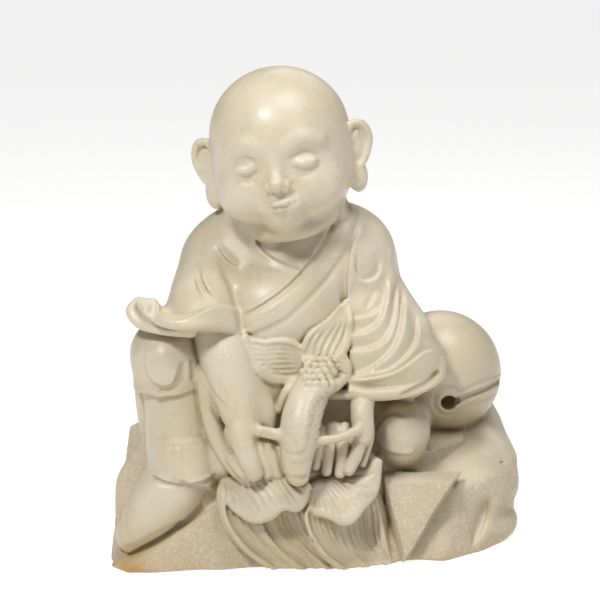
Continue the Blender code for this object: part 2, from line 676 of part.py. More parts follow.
def carve_lap(b):
    b.add(ellipsoid(seen(-30, 212, -66), (50, 32, 62)), 10)
    b.add(ellipsoid(seen(20, 235, -58), (50, 34, 34)), 8)
    # cloth that fills in behind the arm, up to the sleeve and across to the leg
    b.add(rope((-96, 235, -66, 20), (-84, 185, -82, 22), (-74, 140, -92, 22)), 6)


def carve_right_arm(b):
    b.add(rope((-82, 280, -64, 27), (-76, 250, -86, 26.5), (-66, 215, -102, 24), (-58, 185, -114, 20),
        (-57, 166, -121, 16)), 2)
    # heel of the hand, spreading towards the lap
    b.add(rope((-60, 230, -84, 22), (-46, 203, -98, 17), (-36, 186, -108, 12), (-34, 170, -114, 9)), 8)
    # cloth fold beside the arm
    b.add(rope((-99, 232, -90, 5), (-94, 205, -98, 8), (-87, 175, -108, 9), (-77, 150, -117, 8.5), (-65,
        131, -125, 7), (-54, 121, -130, 6)), 4)
    # back of the hand
    b.add(rope((-58, 168, -121, 16), (-52, 152, -123, 16), (-42, 144, -123, 13), flat=(1, 0.75, 1)), 4)
    # first finger, laid over the others
    b.add(rope((-60, 170, -128, 11), (-56, 152, -135, 11.5), (-50, 138, -140, 10.5), (-46, 127, -141,
        9)), 3)
    b.add(rope((-67, 142, -129, 7), (-57, 129, -135, 7.5), (-49, 124, -137, 6)), 2)
    for u0, u1, u2, low, r in ((-44, -38, -32, 126, 6.4), (-34, -28, -22, 126, 6.4), (-24, -17, -12, 129,
        5.8)):
        b.add(rope((u0, 162, -121, r), (u1 - 1, 150, -130, r), (u1 + 2, 138, -134, r), (u2, low, -135,
            r * 0.85)), 0.6)


def carve_left_sleeve(b):
    b.add(rope((53, 340, 0, 40), (67, 300, -10, 39.5), (80, 258, -32, 45), (86, 238, -42, 49)).meet(
        half(seen(88, 208, -60), (0.15, -0.2, -1)), 3), 16)
    b.add(rope((93, 304, -16, 14), (105, 289, -26, 14), (118, 271, -38, 14)), 10)
    # the sleeve's inner side, flat down to the lap
    b.add(plate(
        [(53, 345, -22, 8), (53, 315, -34, 8), (54, 285, -50, 8), (54, 255, -68, 8), (54, 228, -83, 8),
            (53, 212, -88, 7)],
        [(82, 345, -16, 10), (86, 315, -30, 10), (88, 285, -48, 10), (90, 255, -68, 10), (92, 230, -80,
            10), (92, 212, -84, 7)],
        8, 8), 5)
    # wide hem that ends in an upturned corner
    hem = ellipsoid(seen(92, 232, -48), (54, 46, 34), (0, -14, 0))
    b.add(hem.meet(half(seen(92, 205, -90), (-0.18, -0.25, -1)), 2), 8)
    b.add(rope((30, 206, -92, 6), (50, 206, -98, 6), (75, 205, -100, 6), (100, 207, -96, 6), (122, 213,
        -86, 6), (138, 224, -72, 6),
               (141, 238, -62, 5)), 5)


def carve_left_hem(b):
    # the mouth of the sleeve seen at the corner
    b.cut(rope((137, 227, -76, 3.0), (128, 217, -88, 3.6), (103, 205, -102, 2.5)), 1.5)


def carve_left_arm(b):
    b.add(rope((64, 215, -72, 13), (62, 192, -102, 11.5), (63, 172, -112, 10.5), (64, 162, -116, 8)), 1)
    b.add(rope((34, 170, -100, 9), (52, 160, -106, 10), flat=(1, 0.8, 1)), 4)
    for u, low, r in ((15.5, 134, 5.2), (26.5, 129, 6), (40, 127, 6.2)):
        b.add(rope((u + 5, 172, -102, r), (u + 3, 152, -114, r), (u, low, -118, r * 0.92)), 0.6)
    b.add(rope((62, 164, -112, 6.5), (56, 145, -118, 6.8), (49, 130, -122, 5.8)), 0.6)
    b.add(rope((68, 190, -104, 3.5), (71, 165, -108, 3.5), (63, 136, -112, 3.5)), 2)


def carve_fish(b):
    b.add(rope((24, 236, -88, 14), (19, 222, -98, 17.5), (9, 203, -112, 18.5), (2, 183, -124, 19.5), (-1,
        162, -133, 18.5),
               (-3, 138, -142, 14.5), (-2, 125, -146, 11)), 1)
    b.add(ellipsoid(seen(24, 228, -86), (24, 13, 17), (0, -20, 0)), 3)
    # ridge of the back, running up into the fin at the tail
    b.add(rope((46, 223, -96, 4.5), (33, 213, -110, 6), (16, 207, -123, 6.5), (9, 192, -136, 4.5), (5,
        174, -145, 4), (1, 150, -152, 3)), 4)
    b.add(rope((40, 244, -90, 6), (45, 233, -94, 7), (45, 224, -96, 5)), 3)
    # small fin at the belly
    b.add(rope((-5, 219, -98, 4), (-13, 208, -102, 5.5), (-21, 190, -104, 4.5)), 3)
    # side fins held by the hands
    b.add(rope((-4, 160, -132, 9), (-22, 165, -134, 6), (-46, 170, -130, 5.5)), 4)
    b.add(rope((4, 158, -132, 8), (28, 160, -132, 4.5), (42, 163, -128, 4.5), (58, 170, -122, 5)), 4)
    # lips and mouth
    b.add(ellipsoid(seen(-3, 129, -149), (11.5, 9, 3.5)), 2)
    b.add(ellipsoid(seen(0, 121, -149), (8, 8, 3.5)), 2)


TAIL_RIGHT = (
    [(4, 240), (5, 254), (12, 267), (27, 277), (37, 288), (45, 297)],
    [(37, 238), (42, 250), (48, 262), (50, 278), (49, 290), (47, 299)],
)
TAIL_LEFT = (
    [(6, 248), (-8, 257), (-22, 259), (-38, 258), (-55, 264)],
    [(4, 218), (-12, 219), (-30, 221), (-43, 230), (-56, 262)],
)


def carve_strands(b):
    """Broad strands of falling water."""
    for first, last in (WAVE_LEFT, WAVE_RIGHT):
        marks(b, 3.2, 3.2, groove, (first, last), 8, ends=(0.02, 0.15))
    carve_water_hollows(b)


def carve_tail(b):
    def guide(points, root, lift):
        line = lay(b, *points, steps=4)
        n = np.linspace(0, 1, len(line))
        near = np.clip(n * 2.2, 0, 1)
        line[:, 1] = root * (1 - near) + (line[:, 1] - lift) * near
        return np.hstack([line, (4.4 * (1 - 0.35 * n ** 2))[:, None]])

    b.add(fan(guide(TAIL_RIGHT[0], -96, 4), guide(TAIL_RIGHT[1], -94, 4), 9, 1.5), 0.6)
    b.add(fan(guide(TAIL_LEFT[0], -92, 2), guide(TAIL_LEFT[1], -92, 2), 9, 1.5), 0.6)


def carve_scales(b):
    for row in range(5):
        for col in range(6):
            u = 5 + col * 7.5 + (3.7 if row % 2 else 0) - row * 0.8
            v = 239 - row * 6
            if not 3 < u < (38 if row < 3 else 36):
                continue
            p = lay(b, (u, v), (u + 0.01, v))[0]
            b.add(ellipsoid(p + np.array([0, 0.7, 0.5]), (4.6, 2.6, 4.4), (-15, 0, 0)), 0.3)


def carve_muyu(b):
    b.add(ellipsoid(seen(141.5, 229, 40), (61.5, 62, 63.5), (0, -15, 0)), 2)


def carve_muyu_slit(b):
    hole = seen(148, 198, -10)
    b.cut(tube([(hole[0], -60, hole[2] + 4, 8), (hole[0], 10, hole[2], 8)]), 1)
    line = lay(b, (156, 199), (170, 204), (185, 210), (197, 217), (203, 220))
    slot = np.hstack([line, np.full((len(line), 1), 3.6)])
    slot[-6:, 1] += np.linspace(0, 4, 6)
    b.cut(tube(slot), 1)


HEAD = np.array(seen(-19, 450, -20))
HEAD_TURN = (-4, -8, -5)


def on_head(x, y, z, *rest):
    """A point in the head's own frame: x to its left, y inward, z up."""
    return (*(HEAD + turned(HEAD_TURN) @ np.array([x, y, z])), *rest)


def head_ball(x, y, z, radii, turn=(0, 0, 0)):
    return ellipsoid(on_head(x, y, z), radii, tuple(a + c for a, c in zip(HEAD_TURN, turn)))


def head_rope(*points, flat=(1, 1, 1), steps=6):
    return tube(curve([on_head(*p) for p in points], steps), flat)


def carve_head(b):
    # skull, face, cheeks and chin
    b.add(head_ball(0, 6, 16, (69, 76, 66)), 6)
    b.add(head_ball(0, -4, -26, (67, 60, 51)), 22)
    for s in (-1, 1):
        b.add(head_ball(s * 34, -41, -37, (26, 24, 22)), 16)
    b.add(head_ball(0, -50, -60, (19, 16, 14)), 12)
    b.add(head_rope((-40, -12, -68, 7), (-22, -30, -76, 8), (0, -36, -78, 8), (22, -30, -76, 8), (40,
        -12, -68, 7)), 10)
    # eyes in their hollows, under soft brows
    for s in (-1, 1):
        b.cut(head_ball(s * 28, -80, -8, (19, 11, 9)), 14)
        b.add(head_rope((s * 12, -64, 8, 3), (s * 28, -62, 14, 3.5), (s * 45, -52, 10, 2)), 12)
        b.add(head_ball(s * 28, -59.5, -10, (13.5, 8, 7.2)), 3)
    # nose
    b.add(head_rope((0, -63, 0, 4), (0, -67, -12, 4.5), (0, -71.5, -23, 6)), 9)
    b.add(head_ball(0, -74.5, -26, (7, 7.5, 6.5)), 5)
    for s in (-1, 1):
        b.add(head_ball(s * 8, -69.5, -28.5, (5, 6, 4.6)), 3)
    # lips
    b.add(head_ball(0, -62, -48, (19, 10, 11)), 10)
    b.add(head_rope((-12.5, -66, -45, 1.8), (-6, -71.5, -44, 3.0), (0, -72.5, -45, 3.1), (6, -71.5, -44,
        3.0), (12.5, -66, -45, 1.8)), 1.5)
    b.add(head_rope((-9.5, -66.5, -48.5, 2.0), (0, -70.5, -50.5, 3.8), (9.5, -66.5, -48.5, 2.0)), 2.5)


def carve_ears(b):
    for s in (-1, 1):
        b.add(head_ball(s * 70, 8, -6, (17, 8, 25), (0, s * 6, s * 28)), 3)
        b.add(head_ball(s * 71, 5, -34, (10.5, 7, 17), (0, 0, s * 20)), 3)
        b.add(head_rope((s * 66, -2, 6, 3), (s * 72, -2, 17, 3.6), (s * 82, 3, 15, 4.2), (s * 86.5, 7, 1,
            4.2), (s * 82, 5, -15, 3.8), (s * 77, 2, -24, 3)), 2)
        b.cut(head_ball(s * 77, -4.5, 0, (4, 4.5, 9), (0, s * 10, s * 28)), 2)
        b.add(head_rope((s * 71, -1, -5, 2.4), (s * 75, 0, 3, 2.4), (s * 76, 1, 9, 2.0)), 2)


# Two waves: the outer edges of each one's falling water, then the upper and lower edges of its foam
WAVE_LEFT = (
    [(-74, 116), (-77, 104), (-72, 80), (-54, 55), (-24, 34)],
    [(-2, 104), (2, 88), (8, 70), (22, 52), (44, 34)],
)
WAVE_RIGHT = (
    [(11, 98), (6, 84), (13, 64), (28, 46), (46, 34)],
    [(76, 102), (80, 84), (81, 66), (84, 50), (92, 38)],
)
WAVE_LEFT_DEPTHS = ((-114, -124, -130, -131, -121), (-110, -118, -122, -124, -121))
WAVE_RIGHT_DEPTHS = ((-130, -136, -137, -132, -121), (-92, -96, -100, -104, -108))
FOAM_LEFT = (
    [(-76, 118), (-60, 120), (-34, 122), (-12, 121), (6, 114)],
    [(-74, 103), (-66, 93), (-54, 84), (-45, 81), (-36, 82), (-27, 86), (-20, 93), (-14, 95), (-5, 92),
        (2, 97), (8, 112)],
)
FOAM_RIGHT = (
    [(10, 110), (22, 117), (38, 122), (56, 127), (72, 140)],
    [(8, 100), (13, 89), (22, 87), (32, 84), (41, 79), (50, 80), (57, 87), (61, 94), (68, 100), (76,
        113), (79, 138)],
)


def along(line, t):
    """The point that lies at a share t of a line's points."""
    places = np.linspace(0, 1, len(line))
    return np.array([np.interp(t, places, line[:, n]) for n in range(line.shape[1])])


def comb(roots, tips, count, radius, rise, blend):
    """Bars side by side that run from one line to another; rise lifts their middles outward."""
    whole = None
    for t in np.linspace(0, 1, count):
        a, c = along(roots, t)[:3], along(tips, t)[:3]
        middle = (a + c) / 2 + np.array([0, -1, 0.5]) * rise
        bar = tube(curve([(*a, radius), (*middle, radius), (*c, radius)], 4))
        whole = bar if whole is None else whole.join(bar, blend)
    return whole


def at_depths(points, depths, radius):
    """Sheet points with depths spread along them."""
    places = np.linspace(0, len(depths) - 1, len(points))
    return path(*[(u, v, np.interp(n, range(len(depths)), depths), radius) for n, (u, v) in zip(places,
        points)])


def carve_waves(b):
    # masses the water is cut from
    b.add(rope((-52, 100, -100, 24), (-38, 70, -104, 26), (0, 52, -98, 26)), 6)
    b.add(rope((24, 92, -96, 22), (40, 70, -98, 24), (66, 54, -92, 22)), 6)
    for wave, depths in ((WAVE_LEFT, WAVE_LEFT_DEPTHS), (WAVE_RIGHT, WAVE_RIGHT_DEPTHS)):
        first, last = (at_depths(line, line_depths, 6.5) for line, line_depths in zip(wave, depths))
        b.add(fan(first, last, 20, 3), 2)


def carve_water_hollows(b):
    # hollows under the crests
    b.cut(ellipsoid(seen(-8, 74, -142), (12, 13, 24), (0, -28, 0)), 6)
    b.cut(ellipsoid(seen(68, 76, -118), (9, 14, 25), (0, -8, 0)), 5)


def carve_foam(b):
    # foam that falls over from the crests
    b.add(comb(at_depths(FOAM_LEFT[0], (-110, -124, -132, -134), 0), at_depths(FOAM_LEFT[1], (-130, -141,
        -146, -146, -138), 0),
               60, 3.4, 4, 3), 2)
    b.add(comb(at_depths(FOAM_RIGHT[0], (-122, -112, -104, -98), 0), at_depths(FOAM_RIGHT[1], (-134,
        -140, -140, -128, -108), 0),
               60, 3.4, 4, 3), 2)


def carve_all(b):
    carve_base(b)
    carve_rock_edge(b)
    carve_body(b)
    carve_legs(b)
    carve_leg_folds(b)
    carve_muyu(b)
    carve_neck(b)
    carve_collar(b)
    carve_left_sleeve(b)
    carve_right_sleeve(b)
    carve_robe_folds(b)
    carve_back_folds(b)
    carve_left_hem(b)
    carve_lap(b)
    carve_right_arm(b)
    carve_left_arm(b)
    carve_waves(b)
    carve_strands(b)
    carve_foam(b)
    carve_tail(b)
    carve_fish(b)
    carve_scales(b)
    carve_muyu_slit(b)
    carve_head(b)
    carve_ears(b)
    b.cut(half((0, 0, 0), (0, 0, 1), (-400, -400, -60), (400, 400, 2)))


def marble():
    material = bpy.data.materials.new("pale marble")
    material.use_nodes = True
    shader = material.node_tree.nodes["Principled BSDF"]
    shader.inputs["Base Color"].default_value = STONE_COLOUR
    shader.inputs["Roughness"].default_value = STONE_ROUGHNESS
    shader.inputs["Metallic"].default_value = 0.0
    return material


def largest_body(mesh):
    """Leaves only the biggest body of a mesh that is being worked on."""
    left = set(mesh.faces)
    bodies = []
    while left:
        todo = [left.pop()]
        body = list(todo)
        while todo:
            for edge in todo.pop().edges:
                for face in edge.link_faces:
                    if face in left:
                        left.remove(face)
                        todo.append(face)
                        body.append(face)
        bodies.append(body)
    bodies.sort(key=len)
    for body in bodies[:-1]:
        bmesh.ops.delete(mesh, geom=body, context="FACES")


def build_statue():
    block = Block(STONE_LOW, STONE_HIGH, CELL)
    carve_all(block)
    settle(block)
    points, faces = surface(block)
    fine = bpy.data.meshes.new("fine stone")
    fine.from_pydata(((points - MIDDLE) * UNIT).tolist(), [], faces.tolist())
    carving = bpy.data.objects.new("monk_statue", fine)
    bpy.context.collection.objects.link(carving)
    decimate = carving.modifiers.new("broader facets", "DECIMATE")
    decimate.ratio = TRIANGLES / (2 * len(faces))
    decimate.use_collapse_triangulate = True
    depsgraph = bpy.context.evaluated_depsgraph_get()
    facets = bpy.data.meshes.new_from_object(carving.evaluated_get(depsgraph))
    carving.modifiers.clear()
    carving.data = facets
    bpy.data.meshes.remove(fine)

    stone = bmesh.new()
    stone.from_mesh(facets)
    largest_body(stone)
    for vert in stone.verts:
        if vert.co.z < SEAT_LEVEL:
            vert.co.z = 0.0
    bmesh.ops.recalc_face_normals(stone, faces=stone.faces)
    stone.to_mesh(facets)
    stone.free()
    facets.name = "monk_statue"
    facets.materials.append(marble())
    facets.shade_smooth()
    facets.set_sharp_from_angle(angle=radians(SHARP_ANGLE))
    return carving


for item in list(bpy.data.objects):
    bpy.data.objects.remove(item)
build_statue()
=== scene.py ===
"""Young monk with a fish, carved in one piece from a block of pale marble.

The carving is worked on a lattice, as in the part's source, but finer, and with the small relief:
folds and lacing, fin rays, scales, strands of water, the lines of the face. It stands in the place
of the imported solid. Drawing units are shares of the statue's height and become metres at the end.
"""
import bmesh
import bpy
import numpy as np
from math import cos, radians, sin
from mathutils import Euler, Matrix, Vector


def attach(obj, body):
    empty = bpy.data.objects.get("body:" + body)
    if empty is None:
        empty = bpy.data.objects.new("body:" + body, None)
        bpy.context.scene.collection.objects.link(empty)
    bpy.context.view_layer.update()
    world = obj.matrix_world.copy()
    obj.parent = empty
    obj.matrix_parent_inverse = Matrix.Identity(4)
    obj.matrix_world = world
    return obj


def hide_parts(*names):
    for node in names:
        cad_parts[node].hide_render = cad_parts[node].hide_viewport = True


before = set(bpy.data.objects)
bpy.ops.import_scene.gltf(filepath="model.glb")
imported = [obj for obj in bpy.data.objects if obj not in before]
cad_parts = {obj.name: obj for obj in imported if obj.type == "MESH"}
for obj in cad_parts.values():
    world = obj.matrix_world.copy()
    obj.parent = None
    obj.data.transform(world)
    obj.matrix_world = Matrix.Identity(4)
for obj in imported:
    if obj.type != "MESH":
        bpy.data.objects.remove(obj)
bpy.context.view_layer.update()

# Driving size, in metres
STATUE_HEIGHT = 0.477

# The drawing's own units
DRAWN_HEIGHT = 476.8
UNIT = STATUE_HEIGHT / DRAWN_HEIGHT
CELL = 1.25
# Corners of the block that the statue is carved from
STONE_LOW = (-213, -163, -9)
STONE_HIGH = (220, 134, 488)
# The drawing point that the origin stands at, on the ground in the middle of the statue's box
MIDDLE = np.array([5.17, -15.88, 0.0])
# How many triangles the carved piece may have
TRIANGLES = 196000
# How abruptly a fold's step rises, and how deep the cut at its foot is as a share of the step
STEP = 4.5
CREASE = 0.75


class Block:
    """A block of stone on a lattice. Each lattice point holds its distance to the carved surface,
    negative inside the stone. Shapes are functions of x, y and z that return such a distance."""

    # How far round a shape its distances are worked out
    REACH = 7.0

    def __init__(self, low, high, cell):
        self.low = np.array(low, float)
        self.cell = cell
        self.axes = [np.arange(a, b + cell, cell, dtype=np.float32) for a, b in zip(low, high)]
        self.field = np.full([len(a) for a in self.axes], 100.0, np.float32)

    def window(self, low, high, margin):
        """Slices of the lattice that cover a box, and the coordinates in them."""
        cuts = []
        for axis, a, b in zip(self.axes, low, high):
            first = int(np.searchsorted(axis, a - margin))
            last = int(np.searchsorted(axis, b + margin))
            cuts.append(slice(first, last))
        x, y, z = (axis[cut] for axis, cut in zip(self.axes, cuts))
        return tuple(cuts), x[:, None, None], y[None, :, None], z[None, None, :]

    def add(self, shape, blend=0.0):
        """Joins a shape on, with a fillet of about the blend's size."""
        cuts, x, y, z = self.window(shape.low, shape.high, blend + self.REACH)
        self.field[cuts] = soft_min(self.field[cuts], shape.distance(x, y, z), blend)

    def cut(self, shape, blend=0.0):
        """Takes a shape away."""
        cuts, x, y, z = self.window(shape.low, shape.high, blend + self.REACH)
        self.field[cuts] = -soft_min(-self.field[cuts], shape.distance(x, y, z), blend)


class Shape:
    """A distance function and the box that holds the shape."""

    def __init__(self, low, high, distance):
        self.low = np.array(low, float)
        self.high = np.array(high, float)
        self.distance = distance

    def meet(self, other, blend=0.0):
        """What this shape and another share."""
        low = np.maximum(self.low, other.low)
        high = np.minimum(self.high, other.high)
        return Shape(
            low,
            high,
            lambda x, y, z: -soft_min(-self.distance(x, y, z), -other.distance(x, y, z), blend),
        )

    def join(self, other, blend=0.0):
        return Shape(
            np.minimum(self.low, other.low),
            np.maximum(self.high, other.high),
            lambda x, y, z: soft_min(self.distance(x, y, z), other.distance(x, y, z), blend),
        )


def soft_min(a, b, blend):
    """The smaller of two distances, rounded over where they are close."""
    least = np.minimum(a, b)
    if blend <= 0:
        return least
    near = np.maximum(blend - np.abs(a - b), 0) / blend
    return least - near * near * (blend / 4)


def turned(turn):
    """The matrix of a turn given as degrees about X, Y and Z."""
    return np.array(Euler([radians(a) for a in turn]).to_matrix())


def ellipsoid(centre, radii, turn=(0, 0, 0)):
    m = turned(turn)
    c = np.array(centre, float)
    reach = np.sqrt(((m * np.array(radii)) ** 2).sum(1))
    ra, rb, rc = radii

    def distance(x, y, z):
        dx, dy, dz = x - c[0], y - c[1], z - c[2]
        px, py, pz = (m[0, i] * dx + m[1, i] * dy + m[2, i] * dz for i in range(3))
        k0 = np.sqrt((px / ra) ** 2 + (py / rb) ** 2 + (pz / rc) ** 2)
        k1 = np.sqrt((px / ra**2) ** 2 + (py / rb**2) ** 2 + (pz / rc**2) ** 2)
        return k0 * (k0 - 1) / np.maximum(k1, 1e-6)

    return Shape(c - reach, c + reach, distance)


def curve(points, steps=6):
    """A smooth path through points, which may carry a radius as a fourth number."""
    p = np.array(points, float)
    p = np.vstack([2 * p[0] - p[1], p, 2 * p[-1] - p[-2]])
    out = []
    for i in range(1, len(p) - 2):
        for t in np.arange(steps) / steps:
            a, b, c, d = p[i - 1 : i + 3]
            bend = (2 * a - 5 * b + 4 * c - d) * t**2 + (3 * b - a - 3 * c + d) * t**3
            out.append((2 * b + (c - a) * t + bend) / 2)
    out.append(p[-2])
    return np.array(out)


def tube(path, flat=(1.0, 1.0, 1.0)):
    """A round bar along a path of x, y, z, radius. flat squeezes it along the world's axes."""
    path = np.array(path, float)
    f = np.array(flat, float)
    reach = path[:, 3:4] * np.maximum(f, 1.0)
    p = path[:, :3] / f

    def distance(x, y, z):
        x, y, z = x / f[0], y / f[1], z / f[2]
        best = None
        for a, b, ra, rb in zip(p[:-1], p[1:], path[:-1, 3], path[1:, 3]):
            d = b - a
            t = ((x - a[0]) * d[0] + (y - a[1]) * d[1] + (z - a[2]) * d[2]) / max(float(d @ d), 1e-9)
            t = np.clip(t, 0, 1)
            dx, dy, dz = x - a[0] - t * d[0], y - a[1] - t * d[1], z - a[2] - t * d[2]
            gap = np.sqrt(dx * dx + dy * dy + dz * dz) - (ra + (rb - ra) * t)
            best = gap if best is None else np.minimum(best, gap)
        return best * float(f.min())

    return Shape((path[:, :3] - reach).min(0), (path[:, :3] + reach).max(0), distance)


def hewn(x, y, z, length):
    """A pattern of flat, slanting faces between 0 and 1, as a pointed chisel leaves them."""
    total = 0
    for n in range(5):
        level = cos(1.1 + 0.9 * n)
        wide = sin(1.1 + 0.9 * n)
        way = (wide * cos(2.4 * n), wide * sin(2.4 * n), level)
        wave = (x * way[0] + y * way[1] + z * way[2]) / (length * (1 + 0.23 * n)) + 0.37 * n
        total = total + np.abs(wave - np.round(wave))
    return np.clip(total * 0.8 - 0.4, 0, 1.2)


def chunk(low, high, planes, blend=2.0, rough=0.0, length=60.0):
    """A faceted lump of rock: a box cut by planes, each given as a point on it and the way it faces."""
    low, high = np.array(low, float), np.array(high, float)
    sides = [(low, -np.eye(3)[i]) for i in range(3)] + [(high, np.eye(3)[i]) for i in range(3)]
    faces = sides + [(np.array(p, float), np.array(n, float) / np.linalg.norm(n)) for p, n in planes]

    def distance(x, y, z):
        worst = None
        for p, n in faces:
            d = (x - p[0]) * n[0] + (y - p[1]) * n[1] + (z - p[2]) * n[2]
            worst = d if worst is None else -soft_min(-worst, -d, blend)
        return worst + rough * (hewn(x, y, z, length) - 0.5) if rough else worst

    return Shape(low, high, distance)


def half(point, facing, low=(-400, -400, -400), high=(400, 400, 800)):
    """Everything behind a plane."""
    p, n = np.array(point, float), np.array(facing, float)
    n = n / np.linalg.norm(n)
    return Shape(low, high, lambda x, y, z: (x - p[0]) * n[0] + (y - p[1]) * n[1] + (z - p[2]) * n[2])


def surface(block):
    """Points and four-sided faces of the carved surface, one point in each cell that the surface crosses."""
    f = block.field
    inside = f < 0
    crossing = np.zeros(np.array(f.shape) - 1, np.int8)
    corners = [(i, j, k) for i in (0, 1) for j in (0, 1) for k in (0, 1)]
    nx, ny, nz = crossing.shape
    for i, j, k in corners:
        crossing += inside[i : nx + i, j : ny + j, k : nz + k]
    cells = np.argwhere((crossing > 0) & (crossing < 8))
    number = np.full(crossing.shape, -1, np.int32)
    number[tuple(cells.T)] = np.arange(len(cells))
    total = np.zeros((len(cells), 3))
    count = np.zeros(len(cells))
    value = {c: f[cells[:, 0] + c[0], cells[:, 1] + c[1], cells[:, 2] + c[2]] for c in corners}
    for a in corners:
        for axis in range(3):
            if a[axis]:
                continue
            b = tuple(1 if n == axis else v for n, v in enumerate(a))
            fa, fb = value[a], value[b]
            hit = (fa < 0) != (fb < 0)
            t = np.where(hit, fa / np.where(hit, fa - fb, 1), 0)
            for n in range(3):
                total[:, n] += np.where(hit, a[n] + (t if n == axis else 0), 0)
            count += hit
    points = block.low + (cells + total / count[:, None]) * block.cell
    faces = []
    for axis in range(3):
        u, v = (axis + 1) % 3, (axis + 2) % 3
        a = np.moveaxis(inside, axis, 0)
        change = np.argwhere(a[:-1] != a[1:])
        spot = np.zeros_like(change)
        order = [axis] + [n for n in range(3) if n != axis]
        for n, name in enumerate(order):
            spot[:, name] = change[:, n]
        ring = []
        for du, dv in ((0, 0), (1, 0), (1, 1), (0, 1)):
            c = spot.copy()
            c[:, u] -= du
            c[:, v] -= dv
            ring.append(number[tuple(c.T)])
        quads = np.stack(ring, 1)
        outward = inside[tuple(spot.T)]
        quads[~outward] = quads[~outward][:, ::-1]
        faces.append(quads)
    return points, np.vstack(faces)


def value_at(block, points):
    """The field at any points, read between the lattice points."""
    g = (np.asarray(points) - block.low) / block.cell
    top = np.array(block.field.shape) - 2
    base = np.clip(np.floor(g).astype(int), 0, top)
    f = np.clip(g - base, 0, 1)
    total = 0
    for i in (0, 1):
        for j in (0, 1):
            for k in (0, 1):
                weight = abs(1 - i - f[..., 0]) * abs(1 - j - f[..., 1]) * abs(1 - k - f[..., 2])
                total = total + weight * block.field[base[..., 0] + i, base[..., 1] + j, base[..., 2] + k]
    return total


class Sheet:
    """A drawing sheet that a line is drawn on and pressed back onto the stone. middle is the point that
    0, 0 lands on, and the columns of the matrix are the ways right, in and up."""

    def __init__(self, middle, matrix, distance=None):
        self.middle = np.array(middle, float)
        self.right, self.inward, self.up = np.array(matrix, float).T
        self.distance = distance

    def ray(self, u, v):
        u, v = np.asarray(u, float)[..., None], np.asarray(v, float)[..., None]
        spot = self.middle + u * self.right + v * self.up
        if self.distance is None:
            return spot, np.broadcast_to(self.inward, spot.shape)
        eye = self.middle - self.inward * self.distance
        way = spot - eye
        return spot, way / np.linalg.norm(way, axis=-1, keepdims=True)

    def seen(self, u, v, y, *rest):
        """The point at depth y that is seen at u, v."""
        spot, way = self.ray(u, v)
        return (*(spot + way * ((y - spot[1]) / way[1])), *rest)

    def touch(self, block, points, near=-200.0, far=200.0):
        """The points of the stone's surface that are seen at each u, v."""
        points = np.asarray(points, float)
        spot, way = self.ray(points[:, 0], points[:, 1])
        s = np.arange(near, far, block.cell * 0.7)
        line = spot[:, None] + way[:, None] * s[None, :, None]
        d = value_at(block, line)
        hit = np.argmax(d < 0, axis=1)
        hit = np.where(hit == 0, np.argmin(d, axis=1), hit)
        rows = np.arange(len(points))
        before = d[rows, np.maximum(hit - 1, 0)]
        after = d[rows, hit]
        t = np.clip(before / np.where(before - after == 0, 1, before - after), 0, 1)
        depth = s[np.maximum(hit - 1, 0)] + t * (s[1] - s[0])
        return spot + way * depth[:, None]

    def lay(self, block, points, steps=6, near=-200.0, far=200.0):
        """A smooth line drawn through u, v points and laid on the stone."""
        return self.touch(block, curve([(*p[:2], 0) for p in points], steps)[:, :2], near, far)


def groove(s, gap):
    return -np.exp(-gap * gap)


def ledge(s, gap, side=1):
    """High on the line's left as it is followed and low on its right, with a fine cut between."""
    return side * np.tanh(s * STEP) * np.exp(-gap * gap * 0.6) - CREASE * np.exp(-gap * gap * 6)


def lower(s, gap):
    """Low on the line's left, high on its right."""
    return ledge(s, gap, -1)


def draw(block, line, width, height, form=groove, inward=None, ends=(0.15, 0.15)):
    """Works the stone along a line that lies on it: width is the mark's half width."""
    line = np.asarray(line, float)[:, :3]
    reach = width * 3
    cuts, x, y, z = block.window(line.min(0), line.max(0), reach)
    shape = [len(axis.ravel()) for axis in (x, y, z)]
    best = np.full(shape, 1e9, np.float32)
    side = np.zeros(shape, np.float32)
    along = np.zeros(shape, np.float32)
    lengths = np.linalg.norm(np.diff(line, axis=0), axis=1)
    total = max(float(lengths.sum()), 1e-6)
    done = 0.0
    for a, b, length in zip(line[:-1], line[1:], lengths):
        if length < 1e-6:
            continue
        lo, hi = np.minimum(a, b) - reach, np.maximum(a, b) + reach
        part = tuple(
            slice(int(np.searchsorted(axis.ravel(), l)), int(np.searchsorted(axis.ravel(), h)))
            for axis, l, h in zip((x, y, z), lo, hi)
        )
        px, py, pz = x[part[0]], y[:, part[1]], z[:, :, part[2]]
        d = b - a
        t = np.clip(((px - a[0]) * d[0] + (py - a[1]) * d[1] + (pz - a[2]) * d[2]) / float(d @ d), 0, 1)
        gx, gy, gz = px - a[0] - t * d[0], py - a[1] - t * d[1], pz - a[2] - t * d[2]
        gap = np.sqrt(gx * gx + gy * gy + gz * gz)
        nearer = gap < best[part]
        best[part] = np.where(nearer, gap, best[part])
        along[part] = np.where(nearer, (done + t * length) / total, along[part])
        if inward is not None:
            across = np.cross(inward, d)
            across = -across / max(np.linalg.norm(across), 1e-6)
            s = gx * across[0] + gy * across[1] + gz * across[2]
            side[part] = np.where(nearer, s, side[part])
        done += length
    fade = np.ones(shape, np.float32)
    if ends[0]:
        fade = fade * np.clip(along / ends[0], 0, 1)
    if ends[1]:
        fade = fade * np.clip((1 - along) / ends[1], 0, 1)
    fade = fade * fade * (3 - 2 * fade)
    block.field[cuts] -= height * fade * form(side / width, best / width)


def fan(first, last, count, blend=0.0):
    """Bars spread evenly between two guide lines of x, y, z, radius."""
    first, last = np.array(first, float), np.array(last, float)
    whole = None
    for n in range(count):
        t = n / max(count - 1, 1)
        bar = tube(first * (1 - t) + last * t)
        whole = bar if whole is None else whole.join(bar, blend)
    return whole


